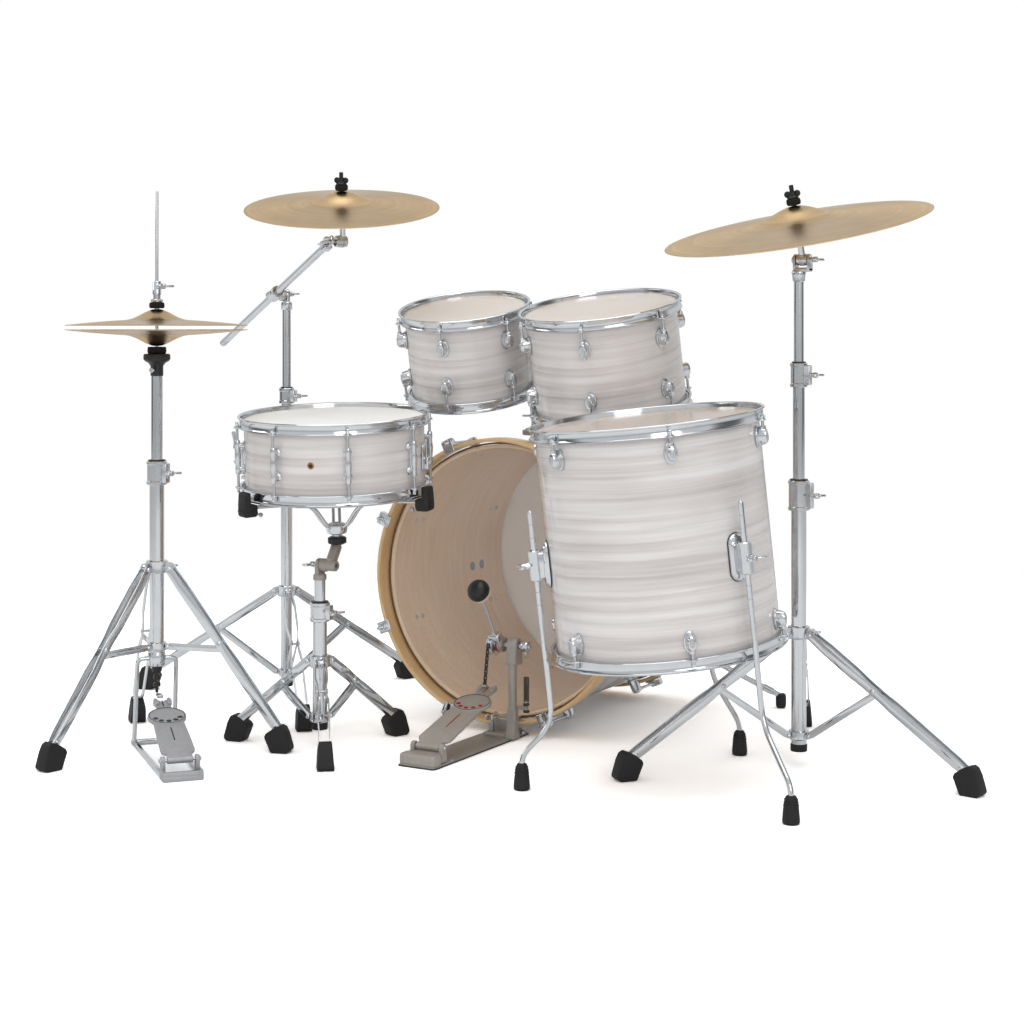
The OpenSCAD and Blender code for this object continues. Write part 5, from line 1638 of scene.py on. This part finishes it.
def make_snare_tube():
    piece = Piece("snare_upper_and_ear")
    z = SNARE_ELBOW.z
    piece.add(round_stock(MIDDLE_TUBE, z - 168, 0.8, 48), CHROME, SNARE_STAND.place @ shift(0, 0, 150))
    piece.add(turned([(0, -30), (12.6, -30), (13.4, -28), (13, -20), (8, -15), (0, -15)], 40), CAST,
              SNARE_STAND.place @ shift(0, 0, z))
    ear = arc((0, 0), 13, 0, 180, 14) + [(-12, -23), (12, -23)]
    at = shift(*SNARE_ELBOW)
    piece.add(stamped(ear, 8, 1.4), CAST, at @ shift(-4, 0, 0) @ OUTWARD)
    piece.add(round_stock(8, 30, 0.8, 24), STEEL, at @ shift(-10, 0, 0) @ spin(90, "Y"))
    add_wing(piece, at @ shift(-6, 0, 0) @ spin(180), CHROME, 13, 36)
    piece.finish("snare_post", "snare_upper_tube")


CRASH_PIVOT = pivot("crash_tilt")
BOOM_RUN = CRASH_PIVOT - BOOM_PIVOT
BOOM_AZIMUTH = math.degrees(math.atan2(BOOM_RUN.y, BOOM_RUN.x))
BOOM_RISE = math.degrees(math.atan2(BOOM_RUN.z, BOOM_RUN.xy.length))
BOOM_LENGTH = BOOM_RUN.length
BOOM_PLACE = shift(*BOOM_PIVOT) @ spin(BOOM_AZIMUTH) @ spin(-BOOM_RISE, "Y")
make_ride_tubes()
make_crash_tube()
make_snare_tube()

# %% [markdown]
# ## Boom
# The boom passes beside the pole through a clamp that turns on a pin, and its
# far end carries the tilter. The cast clamp has a cap that the wing bolt
# pulls down on the rod.

# %% Boom clamp and arm
BOOM_SIDE = -28
BOOM_D = 15.8
BOOM_TAIL = 330


def make_boom():
    piece = Piece("boom_clamp_casting")
    wheel = turned([(4.6, 4.8), (13.6, 4.8), (15, 6.2), (15, 15), (13.4, 17.4), (4.6, 17.4)], 40)
    piece.add(wheel, CHROME, BOOM_PLACE @ spin(90, "X"))
    for step in range(28):
        notch = BOOM_PLACE @ spin(step * 360 / 28, "Y") @ shift(0, -11, 15)
        piece.add(block((1.6, 9, 1.6), 0.4, 1), CHROME, notch)
    sleeve = turned([(BOOM_D / 2 + 0.5, 0), (12.5, 0), (14, 1.6), (14, 32.4), (12.5, 34),
                     (BOOM_D / 2 + 0.5, 34)], 40)
    piece.add(sleeve, CHROME, BOOM_PLACE @ shift(-17, BOOM_SIDE, 0) @ spin(90, "Y"))
    piece.add(block((24, 10, 22), 3, 3), CHROME, BOOM_PLACE @ shift(0, -18.6, 0))
    piece.add(block((22, 12, 10), 2, 3), CHROME, BOOM_PLACE @ shift(0, BOOM_SIDE - 13, 0))
    piece.finish("boom_clamp", "crash_boom_clamp")

    piece = Piece("boom_rod_and_fork")
    seat = BOOM_PLACE @ shift(-BOOM_TAIL, BOOM_SIDE, 0) @ spin(90, "Y")
    piece.add(round_stock(BOOM_D, BOOM_TAIL + BOOM_LENGTH - 14, 1.0, 40), CHROME, seat)
    knurl = seat @ shift(0, 0, 8)
    for ring in range(9):
        piece.add(turned([(7.4, 0), (8.15, 0.6), (8.15, 1.4), (7.4, 2)], 32), STEEL,
                  knurl @ shift(0, 0, ring * 3))
    end = BOOM_PLACE @ shift(BOOM_LENGTH, BOOM_SIDE, 0)
    piece.add(block((22, 19, 21), 3, 3), CHROME, end @ shift(-24, 0, 0))
    piece.add(stamped(rounded_plate(32, 20, 8), 5, 1.2), CHROME, end @ shift(-1, 1, 0) @ spin(90, "X"))
    piece.add(round_stock(8, 27, 0.8, 24), STEEL, end @ shift(0, -BOOM_SIDE - 5, 0) @ spin(90, "X"))
    add_wing(piece, end @ shift(0, -4, 0) @ spin(-90), CHROME, 9, 32)
    piece.finish("boom_arm", "crash_boom_arm")


make_boom()


# %% [markdown]
# ## Cymbals
# A cymbal is a shallow bow with a bell in the middle, about a millimetre
# thick. Its profile is drawn once as a curve of radius against height and
# spun; the lathe rings are left to the bronze's bump, because they are finer
# than any mesh should be.

# %% Cymbal shape
CYMBAL_T = 1.4


def cymbal(d, bell_d, bow, bell_h, hole_d, steps=16):
    """Cymbal with its rim at z = 0. Its bell runs out into the plate without a step."""
    edge_r, bell_r = d / 2, bell_d * 0.72

    def height(r):
        bell = 0.5 + 0.5 * math.cos(math.pi * min(1, r / bell_r))
        return bow * (1 - (r / edge_r) ** 1.7) + bell_h * bell ** 1.15

    bell = [hole_d / 2 + (bell_r - hole_d / 2) * i / steps for i in range(steps)]
    plate = [bell_r + (edge_r - bell_r) * i / steps for i in range(steps)]
    top = [(r, height(r)) for r in bell + plate]
    lip = [(edge_r - 0.6, 0.05), (edge_r, -0.35), (edge_r - 0.1, -0.9), (edge_r - 0.9, 0.15 - CYMBAL_T)]
    low = [(r, z - CYMBAL_T + 0.2) for r, z in reversed(top)]
    return turned(top + lip + low, 144)


def make_cymbal(shape_name, body, node, place, finish, *sizes):
    piece = Piece(shape_name)
    piece.add(cymbal(*sizes), finish, place)
    piece.finish(body, node, slot="bronze", sharp=60)


HAT_EDGE_Z = 826
HAT_GAP = 10
HAT_BOW = 12
HAT_BELL_H = 20
HAT_SEAT_Z = 765
# diameter, bell diameter, bow, bell height and hole of each cymbal
HAT_SIZES = (356, 90, HAT_BOW, HAT_BELL_H, 13)
CRASH_SIZES = (410, 116, 14, 22, 12.5)
RIDE_SIZES = (510, 132, 18, 24, 12.5)
CRASH_TURN = (13, 7.6, 0)
CRASH_DROP = 72
CRASH_AT = CRASH_PIVOT + up_of(CRASH_TURN) * CRASH_DROP
RIDE_TURN = (13, -4.6, 0)
RIDE_DROP = 62
RIDE_AT = RIDE_PIVOT + up_of(RIDE_TURN) * RIDE_DROP


def bronze_at(name, at, turn=(0, 0, 0)):
    return bronze(name, at * MM, [math.radians(t) for t in turn])


hat_low = HATS.place @ shift(0, 0, HAT_EDGE_Z) @ spin(180, "X")
hat_high = HATS.place @ shift(0, 0, HAT_EDGE_Z + HAT_GAP)
hat_bronze = bronze_at("hat_bronze", HATS.pole)
make_cymbal("hat_cymbal_low", "hihat_post", "hihat_bottom_cymbal", hat_low, hat_bronze, *HAT_SIZES)
make_cymbal("hat_cymbal_high", "hihat_rod", "hihat_top_cymbal", hat_high, hat_bronze, *HAT_SIZES)
make_cymbal("crash_bronze_disc", "crash_cymbal", "crash_cymbal", pose(CRASH_AT, CRASH_TURN),
            bronze_at("crash_bronze", CRASH_AT, CRASH_TURN), *CRASH_SIZES)
make_cymbal("ride_bronze_disc", "ride_cymbal", "ride_cymbal", pose(RIDE_AT, RIDE_TURN),
            bronze_at("ride_bronze", RIDE_AT, RIDE_TURN), *RIDE_SIZES)

# %% [markdown]
# ## Tilters, felts and wing nuts
# Between steel and bronze there is always felt. From below: a cup, a felt, the
# cymbal, a felt, and a wing nut that is only finger tight, so that the cymbal
# can rock.

# %% Felt washer and tilter
def felt_washer(d, bore, h):
    bulge = d / 2 + 0.8
    return turned([(bore / 2, 0), (d / 2 - 1.5, 0), (d / 2, 1.2), (bulge, h / 2), (d / 2, h - 1.2),
                   (d / 2 - 1.5, h), (bore / 2, h)], 40)


def make_tilter(shape_name, name, place, drop, bow, bell_h, barrel_axis, barrel_at, barrel):
    """Rod through the cymbal. `barrel` is its knuckle's (diameter, start, end) along the pin."""
    piece = Piece(shape_name)
    top = bow + bell_h
    cup = top - 16.5
    stem = turned([(0, -drop), (6, -drop), (6, cup - 6), (9, cup - 3), (9, cup), (0, cup)], 32)
    piece.add(stem, CHROME, place)
    piece.add(turned([(4.3, 0), (12, 0), (16, 2.2), (16, 3.6), (4.3, 3.6)], 40), CHROME,
              place @ shift(0, 0, cup))
    piece.add(felt_washer(25.5, 8.6, 9), FELT, place @ shift(0, 0, cup + 4))
    piece.add(round_stock(8.6, top + 40, 0.6, 24), BLACK, place)
    piece.add(felt_washer(26, 8.6, 12), FELT, place @ shift(0, 0, top + 2))
    nut = turned([(0, 0), (9, 0), (11, 1.5), (11, 4), (8, 6), (7.4, 14), (0, 14)], 36)
    piece.add(nut, BLACK, place @ shift(0, 0, top + 14))
    blade = arc((9, 8), 6.5, -60, 130, 8) + [(3, 13), (3, 1)]
    for side in (20, 200):
        piece.add(stamped(blade, 5, 1.4, 3), BLACK,
                  place @ shift(0, 0, top + 15) @ spin(side) @ shift(0, 2.5, 0) @ spin(90, "X"))
    piece.add(round_stock(7.4, 12, 1, 20), BLACK, place @ shift(0, 0, top + 28))
    d, first, last = barrel
    axle = aim(barrel_at + barrel_axis * first, barrel_at + barrel_axis * last)
    h = last - first
    knuckle = [(4.6, 0), (d / 2 - 1.4, 0), (d / 2, 1.4), (d / 2, h - 1.4), (d / 2 - 1.4, h), (4.6, h)]
    piece.add(turned(knuckle, 40), CHROME, axle)
    for step in range(24):
        piece.add(block((1.5, 1.5, h * 0.5), 0.35, 1), CHROME,
                  axle @ spin(step * 15) @ shift(d / 2, 0, h * 0.5))
    piece.finish(name, name)


boom_across = BOOM_PLACE.to_3x3() @ Vector((0, -1, 0))
make_tilter("crash_tilter_and_felts", "crash_tilter", pose(CRASH_AT, CRASH_TURN), CRASH_DROP,
            *CRASH_SIZES[2:4], boom_across, CRASH_PIVOT, (24, -8, 18))
make_tilter("ride_tilter_and_felts", "ride_tilter", pose(RIDE_AT, RIDE_TURN), RIDE_DROP,
            *RIDE_SIZES[2:4], Vector((1, 0, 0)), RIDE_PIVOT, (22, -10.5, 10.5))

# %% [markdown]
# ## Hi-hat tube, seat and clutch
# The lower cymbal lies on a felt in a cup at the top of the tube. The upper
# one hangs on the pull rod in a clutch: two felts, a threaded sleeve and the
# wing screw that bites on the rod.

# %% Hi-hat upper tube, rod and clutch
def make_hat_tube():
    piece = Piece("hihat_upper_and_seat")
    z = HAT_SEAT_Z
    piece.add(tube(MIDDLE_TUBE, 9, z - 400, 0.6, 48), CHROME, HATS.place @ shift(0, 0, 400))
    cup = [(4.6, -30), (11.6, -30), (12.6, -28), (12.6, -10), (17, -4), (24, 0), (25.5, 2.5), (26, 12),
           (24.5, 14), (4.6, 14)]
    piece.add(turned(cup, 56), BLACK, HATS.place @ shift(0, 0, z))
    for step in range(20):
        piece.add(block((1.6, 2.4, 9), 0.5, 1), BLACK, HATS.place @ spin(step * 18) @ shift(25.6, 0, z + 7))
    piece.add(felt_washer(36, 9.2, 14), FELT, HATS.place @ shift(0, 0, z + 14))
    # the screw that tips the lower cymbal
    screw = HATS.place @ spin(-75) @ shift(11, 0, z - 18) @ spin(90, "Y")
    piece.add(round_stock(6, 12, 0.5, 20), STEEL, screw)
    piece.add(round_stock(10, 5, 1, 20), CHROME, screw @ shift(0, 0, 10))
    piece.finish("hihat_post", "hihat_upper_tube")


def make_pull_rod():
    piece = Piece("hihat_rod_and_clutch")
    piece.add(round_stock(6.4, 1103 - 205, 2.4, 28), CHROME, HATS.place @ shift(0, 0, 205))
    bell = HATS.place @ shift(0, 0, HAT_EDGE_Z + HAT_GAP + HAT_BOW + HAT_BELL_H)
    piece.add(felt_washer(23, 6.4, 7.6), FELT, bell @ shift(0, 0, -13))
    piece.add(round_stock(9.8, 16, 0.6, 24), STEEL, bell @ shift(0, 0, -14))
    piece.add(felt_washer(29, 6.4, 11.6), FELT, bell @ shift(0, 0, 1.2))
    nut = turned([(3.2, 0), (11, 0), (12, 1.4), (12, 5), (10.4, 6.4), (3.2, 6.4)], 36)
    piece.add(nut, CHROME, bell @ shift(0, 0, 13))
    sleeve = turned([(3.2, 0), (7, 0), (7, 8), (8.6, 10), (8.6, 33), (7.2, 35.6), (3.2, 35.6)], 36)
    piece.add(sleeve, CHROME, bell @ shift(0, 0, 19.4))
    for ring in range(4):
        piece.add(turned([(6.6, 0), (7.4, 0.5), (7.4, 1.2), (6.6, 1.7)], 28), STEEL,
                  bell @ shift(0, 0, 20 + ring * 1.9))
    add_wing(piece, bell @ shift(6, 0, 45), CHROME, 12, 36)
    piece.finish("hihat_rod", "hihat_pull_rod")


make_hat_tube()
make_pull_rod()


# %% [markdown]
# ## Pedals
# Both pedals have the same board: a heel hinge, a broad plate, an oval for
# the ball of the foot and a narrow toe that a chain pulls. The oval has a
# groove round it and a row of studs, red on the kick pedal and dark on the
# hi-hat's.

# %% Footboard
STUD_COUNT = 5


def make_footboard(shape_name, name, seat, length, hinge_w, heel_w, toe_w, oval_w, studs, paint):
    piece = Piece(shape_name)
    half = [(0, hinge_w / 2), (15, hinge_w / 2), (18, heel_w / 2 - 4), (22, heel_w / 2 - 1),
            (27, heel_w / 2), (length * 0.36, heel_w / 2 - 1), (length * 0.6, heel_w / 2 - 3),
            (length * 0.76, heel_w / 2 - 8), (length * 0.86, toe_w / 2 - 1), (length * 0.92, toe_w / 2),
            (length - 5, toe_w / 2 + 1), (length - 1, toe_w / 2 - 2), (length, toe_w / 2 - 6),
            (length - 2, 4), (length - 6, 2)]
    outline = [(x, -y) for x, y in half] + list(reversed(half))
    piece.add(stamped(outline, 6.4, 1.2), paint, seat)
    oval_at = seat @ shift(length * 0.7, 0, 0.4)
    oval_l = oval_w * 0.86
    piece.add(stamped(oval(oval_l, oval_w, 48), 7.8, 1.4, 3), paint, oval_at)
    groove = [(x * 0.92, y * 0.92, 8.0) for x, y in oval(oval_l, oval_w, 48)]
    piece.add(swept(groove, 1.3, sides=6, cyclic=True), GROOVE, oval_at)
    for stud in range(STUD_COUNT):
        turn = math.radians(116 + 128 * stud / (STUD_COUNT - 1))
        x, y = oval_l * 0.35 * math.cos(turn), oval_w * 0.35 * math.sin(turn)
        piece.add(domed(oval(7.6, 10.4, 20), 1.5, 0.7, 3), studs, oval_at @ shift(x, y, 7.7))
    # coloured line down the board and over the toe, with a round lobe on each side of the toe
    for start, end in ((length * 0.28, length * 0.5), (length * 0.88, length * 0.985)):
        piece.add(block((end - start, 2.4, 1.0), 0.3, 1), studs, seat @ shift((start + end) / 2, 0, 6.6))
    for side in (-1, 1):
        lobe = stamped(oval(24, 10, 28), 9, 2.6, 3)
        piece.add(lobe, paint, seat @ shift(length * 0.95, side * (toe_w / 2 - 2), 1.6))
    piece.add(round_stock(13, hinge_w + 2, 1.2, 32), paint,
              seat @ shift(0, hinge_w / 2 + 1, 0) @ spin(90, "X"))
    piece.finish(name, name, slot="cast_metal")


BOARD = grained("pedal_grey", "98938B", "B9B4AC", 0.40, 1300.0, 0.00018, metal=0.30)
HAT_BOARD_GREY = grained("hihat_pedal_grey", "97989B", "BDBEC1", 0.40, 1300.0, 0.00018, metal=0.30)
GROOVE = grained("groove_dark", "2C2B2A", "3C3A38", 0.5, 1500.0, 0.0001)
KICK_HINGE = pivot("kick_footboard_press")
KICK_AXLE = pivot("kick_beater_swing")
KICK_REACH, KICK_CLIMB = 232, 71
KICK_TOE = KICK_HINGE + Vector((0, KICK_REACH, KICK_CLIMB))
KICK_BALL = KICK_AXLE + Vector((0, -74, 115))
KICK_LENGTH = (KICK_TOE - KICK_HINGE).length
KICK_RISE = math.degrees(math.atan2(KICK_CLIMB, KICK_REACH))
HAT_TURN = -40
HAT_HINGE = pivot("hihat_footboard_press")
HAT_HINGE_R = 262
HAT_TOE_R, HAT_TOE_Z = 24, 108
HAT_CHAIN_TOP = 148
HAT_BOARD = math.hypot(HAT_HINGE_R - HAT_TOE_R, HAT_TOE_Z - HAT_HINGE.z)
HAT_RISE = math.degrees(math.atan2(HAT_TOE_Z - HAT_HINGE.z, HAT_HINGE_R - HAT_TOE_R))
HAT_PEDAL = HATS.place @ spin(HAT_TURN)
kick_seat = shift(*KICK_HINGE) @ spin(90) @ spin(-KICK_RISE, "Y")
hat_seat = shift(*HAT_HINGE) @ spin(HAT_TURN + 180) @ spin(-HAT_RISE, "Y")
make_footboard("kick_board", "kick_footboard", kick_seat, KICK_LENGTH, 50, 72, 34, 80, RED, BOARD)
make_footboard("hat_board", "hihat_footboard", hat_seat, HAT_BOARD - 32, 46, 64, 30, 74,
               GROOVE, HAT_BOARD_GREY)

# %% [markdown]
# A roller chain is links in pairs: two plates and two rollers. Each link here
# is two pill-shaped plates and a pin, and every second link is wider.

# %% Chain
def add_chain(piece, start, end, pitch=6.3):
    run = Vector(end) - Vector(start)
    count = max(2, round(run.length / pitch))
    place = aim(start, end)
    step = run.length / count
    for link in range(count):
        half = 1.6 if link % 2 else 2.4
        for side in (-1, 1):
            plate = stamped(pill(5.0, step + 4.6, 5), 1.0, 0.25, 1)
            piece.add(plate, GROOVE if link % 2 else DARK_PLATE,
                      place @ shift(side * half - 0.5, 0, step * (link + 0.5))
                      @ spin(90, "Z") @ spin(90, "X"))
        piece.add(round_stock(3.2, 6.2, 0.3, 12), GROOVE,
                  place @ shift(-3.1, 0, step * link) @ spin(90, "Y"))


# %% Kick pedal frame
def make_kick_frame():
    piece = Piece("kick_frame_and_clamp")
    x = KICK_AXLE.x
    base = shift(x, 0, 0)
    heel_y, toe_y = KICK_HINGE.y - 46, KICK_AXLE.y + 58
    mid = (heel_y + toe_y) / 2
    piece.add(stamped(rounded_plate(84, toe_y - heel_y, 8), 3, 0.8), GROOVE, base @ shift(0, mid, 0))
    piece.add(stamped(rounded_plate(81, toe_y - heel_y - 3, 7), 3.4, 1), BOARD, base @ shift(0, mid, 1.4))
    piece.add(stamped(rounded_plate(80, 32, 8), 22, 5, 4), BOARD, base @ shift(0, KICK_HINGE.y - 28, 3))
    piece.add(block((56, 26, 20), 2.4, 3), BOARD, base @ shift(0, KICK_HINGE.y - 2, 14.6))
    cheek = arc((0, 32), 9, 0, 180, 10) + [(-10, 6), (10, 6)]
    for side in (-1, 1):
        piece.add(stamped(cheek, 8, 1.2), BOARD, base @ shift(side * 32 - 4, KICK_HINGE.y, 0) @ OUTWARD)
        add_bolt(piece, base @ shift(side * 36, KICK_HINGE.y, 32) @ spin(90 * side, "Y"), STEEL, 9, 3.6)
    piece.add(round_stock(6, 68, 0.5, 24), STEEL, base @ shift(-34, KICK_HINGE.y, 32) @ spin(90, "Y"))
    post_x = 38
    foot = [(-15, 3), (15, 3), (14, 14), (9.2, 24), (8.6, 60), (8, 64), (-8, 64), (-8.6, 60), (-9.2, 24),
            (-14, 14)]
    piece.add(stamped(foot, 19, 2.2, 3), BOARD, base @ shift(post_x - 9.5, KICK_AXLE.y - 7, 0) @ OUTWARD)
    piece.add(round_stock(17, 116, 1, 40), BOARD, base @ shift(post_x, KICK_AXLE.y - 7, 40))
    housing = arc((1, 0), 15.5, -20, 200, 14) + [(-15, -36), (-12, -39), (14, -39), (16, -36)]
    piece.add(stamped(housing, 22, 2.6, 3), BOARD,
              base @ shift(post_x - 11, KICK_AXLE.y, KICK_AXLE.z) @ OUTWARD)
    for side in (-1, 1):
        bush = base @ shift(post_x + side * 10.4, KICK_AXLE.y, KICK_AXLE.z) @ spin(90 * side, "Y")
        piece.add(turned([(7.4, 0), (11.5, 0), (11.5, 1.6), (10, 2.6), (7.4, 2.6)], 32), STEEL, bush)
    # clamp that grips the bass drum's lower hoop: jaw, lever screw and spring
    jaw_y = KICK_AXLE.y + 10
    piece.add(block((52, 74, 8), 1.8, 3), BOARD, base @ shift(0, jaw_y + 10, 8))
    piece.add(block((44, 18, 26), 2.2, 3), BOARD, base @ shift(0, jaw_y + 11, 22))
    piece.add(block((42, 46, 9), 2.6, 3), CHROME, base @ shift(0, jaw_y + 28, 32))
    piece.add(round_stock(9, 34, 0.8, 20), STEEL, base @ shift(-14, jaw_y - 12, 8))
    piece.add(coil(13, 1.6, 18, 5, 14), STEEL, base @ shift(-14, jaw_y - 12, 12))
    add_wing(piece, base @ shift(-14, jaw_y - 12, 30) @ spin(-90, "Y"), CHROME, 10, 34)
    for side in (-1, 1):
        piece.add(turned([(0, 0), (5.4, 0), (4, 5), (0, 7)], 20), STEEL,
                  base @ shift(side * 34, toe_y - 16, 3.4))
        add_bolt(piece, base @ shift(side * 34, KICK_HINGE.y + 30, 3.6), STEEL, 9, 3)
    piece.finish("root", "kick_pedal_frame", slot="cast_metal")


def make_pedal_spring():
    piece = Piece("kick_return_spring")
    at = shift(KICK_AXLE.x + 66, KICK_AXLE.y, 0)
    piece.add(coil(10.2, 1.5, 50, 24, 14), DARK_PLATE, at @ shift(0, 0, 79))
    piece.add(round_stock(4.4, 26, 0.5, 20), STEEL, at @ shift(0, 0, 56))
    for level in (57, 71):
        piece.add(tube(13, 4.4, 5, 1, 28), GROOVE, at @ shift(0, 0, level))
    piece.add(block((22, 11, 7), 1.6, 2), BOARD, at @ shift(-9, 0, 66.4))
    piece.finish("root", "pedal_spring", slot="steel_wire")


DARK_PLATE = grained("base_plate", "4E4B48", "6B6863", 0.38, 900.0, 0.00015, metal=0.6)
make_kick_frame()
make_pedal_spring()

# %% [markdown]
# ## Beater
# The axle carries a cam for the chain, a hub for the beater's shaft and, on
# the far side of the post, a rocker for the spring. The beater is a black
# rubber face on a cream felt back.

# %% Beater and axle
def make_beater():
    piece = Piece("kick_beater_and_cam")
    x, y, z = KICK_AXLE
    axle = shift(x, y, z) @ spin(90, "Y")
    piece.add(round_stock(13.6, 84, 0.8, 6), STEEL, axle @ shift(0, 0, -12))
    cam = [(5, 0), (22, 0), (24, 1.2), (24, 2.6), (21.6, 3.6), (21.6, 11), (24, 12), (24, 13.4), (22, 14.6),
           (5, 14.6)]
    piece.add(turned(cam, 40), CHROME, axle @ shift(0, 0, -16))
    piece.add(turned([(5, 0), (14, 0), (15, 1.2), (15, 13), (14, 14), (5, 14)], 40), CAST,
              axle @ shift(0, 0, 2))
    piece.add(turned([(14.9, 2), (15.7, 2.6), (15.7, 5.4), (14.9, 6)], 40), RED, axle @ shift(0, 0, -0.6))
    piece.add(turned([(6.6, 0), (10.6, 0), (11.2, 1), (11.2, 12.6), (10.6, 13.6), (6.6, 13.6)], 36), CHROME,
              axle @ shift(0, 0, 58.2))
    add_bolt(piece, axle @ shift(0, 0, 72), CHROME, 12, 4)
    shaft = aim(KICK_AXLE, KICK_BALL)
    clamp = shaft @ shift(0, 0, 8)
    piece.add(block((26, 24, 30), 5, 4), CHROME, clamp @ shift(0, 0, 4))
    piece.add(block((6, 6, 8), 0.8), STEEL, clamp @ shift(0, 13, 4))
    length = (KICK_BALL - KICK_AXLE).length
    piece.add(round_stock(7.2, length + 4, 0.6, 28), CHROME, shaft @ shift(0, 0, 2))
    # the ball: black face towards the head, cream ring, black back
    face_at = shift(*KICK_BALL) @ spin(-90 - 32, "X")
    ball_r = 23
    profile = [(0, ball_r)] + [(ball_r * math.cos(math.radians(a)), ball_r * math.sin(math.radians(a)))
                               for a in (75, 60, 45, 30, 15, 4)]
    piece.add(turned(profile + [(ball_r - 0.4, 0.8), (0, 0.8)], 48), CREAM, face_at)
    back = [(0, 1.2), (ball_r - 0.3, 1.2), (ball_r, -1), (ball_r - 0.2, -7), (ball_r - 3, -13),
            (ball_r - 9, -18.5), (0, -21)]
    piece.add(turned(back, 48), BLACK, face_at)
    # rocker for the spring
    rocker = axle @ shift(0, 0, 63)
    arm = pill(11, 30, 8)
    piece.add(stamped(arm, 4.4, 1.0), CHROME, rocker @ spin(8, "Z") @ shift(10, 0, 0) @ spin(90))
    piece.finish("kick_beater", "kick_beater", slot="cast_metal")


def make_chains():
    piece = Piece("kick_chain")
    top = KICK_AXLE + Vector((-8.7, -24.5, 2))
    toe = kick_seat @ Vector((KICK_LENGTH - 6, 0, 9))
    toe.x = top.x
    add_chain(piece, top, toe)
    piece.add(block((12, 9, 5), 1.2, 2), STEEL, shift(*toe))
    piece.finish("kick_footboard", slot="steel_wire")
    piece = Piece("hat_chain")
    toe = hat_seat @ Vector((HAT_BOARD - 36, 0, 9))
    rod_end = Vector((HATS.pole.x, HATS.pole.y, HAT_CHAIN_TOP))
    low = Vector((HATS.pole.x, HATS.pole.y, toe.z + 4))
    add_chain(piece, rod_end, low)
    piece.add(block((24, 12, 6), 1.6, 2), STEEL, shift(*toe.lerp(low, 0.5)) @ spin(HAT_TURN))
    for level in (0.34, 0.72):
        link = turned([(0, 0), (6.4, 0), (7.2, 1), (7.2, 7), (6.4, 8), (0, 8)], 24)
        piece.add(link, BLACK, shift(*rod_end.lerp(low, level)))
    piece.finish("hihat_footboard", slot="steel_wire")


make_beater()
make_chains()

# %% [markdown]
# ## Hi-hat pedal frame
# Two bent rods come down from the tube to a flat loop on the floor, which
# also holds the heel block, so the pedal cannot creep away from the pole.

# %% Hi-hat pedal frame
def make_hat_frame():
    piece = Piece("hihat_frame_rods")
    top = 176
    for side in (-1, 1):
        route = [(-30, side * 40, 8), (0, side * 38, top), (0, side * 14, top + 1)]
        piece.add(swept(route, 9, 26, 14), CHROME, HAT_PEDAL)
        start, end = Vector((-34, side * 40, 6.5)), Vector((HAT_HINGE_R, side * 34, 6.5))
        bar_at = HAT_PEDAL @ aim(start, end)
        length = (end - start).length
        piece.add(block((8, 9, length), 1.6, 3), CHROME, bar_at @ shift(0, 0, length / 2))
        piece.add(round_stock(13, 5, 1, 24), CHROME, HAT_PEDAL @ shift(-30, side * 40, 8))
    sleeve = turned([(HATS.od / 2 - 6, -14), (16, -14), (17, -12), (17, 11), (16, 13),
                     (HATS.od / 2 - 6, 13)], 40)
    piece.add(sleeve, CHROME, HAT_PEDAL @ shift(0, 0, top))
    piece.add(turned([(3.6, -12), (9, -12), (10, -10), (10, 0), (3.6, 0)], 32), BLACK,
              HAT_PEDAL @ shift(0, 0, top - 14))
    piece.add(block((14, 92, 8), 1.8, 3), CHROME, HAT_PEDAL @ shift(-33, 0, 6))
    heel = HAT_PEDAL @ shift(HAT_HINGE_R + 15, 0, 0)
    piece.add(stamped(rounded_plate(46, 76, 6), 9, 1.6, 3), HAT_BOARD_GREY, heel)
    for at, w, h in (((20, 0), 5, 74), ((0, 35), 42, 5), ((0, -35), 42, 5)):
        piece.add(block((w, h, 12), 1.6, 2), HAT_BOARD_GREY, heel @ shift(at[0], at[1], 11.5))
    cheek = arc((0, HAT_HINGE.z), 8, 0, 180, 10) + [(-8.5, 6), (9, 6)]
    for side in (-1, 1):
        ear = HAT_PEDAL @ shift(HAT_HINGE_R, side * 32 + 4, 0) @ spin(90, "X")
        piece.add(stamped(cheek, 8, 1.2), HAT_BOARD_GREY, ear)
        bolt = HAT_PEDAL @ shift(HAT_HINGE_R, side * 36, HAT_HINGE.z) @ spin(-90 * side, "X")
        add_bolt(piece, bolt, STEEL, 9, 3.6)
    piece.add(round_stock(6, 68, 0.5, 24), STEEL,
              HAT_PEDAL @ shift(HAT_HINGE_R, 34, HAT_HINGE.z) @ spin(90, "X"))
    piece.finish("root", "hihat_pedal_frame")


make_hat_frame()
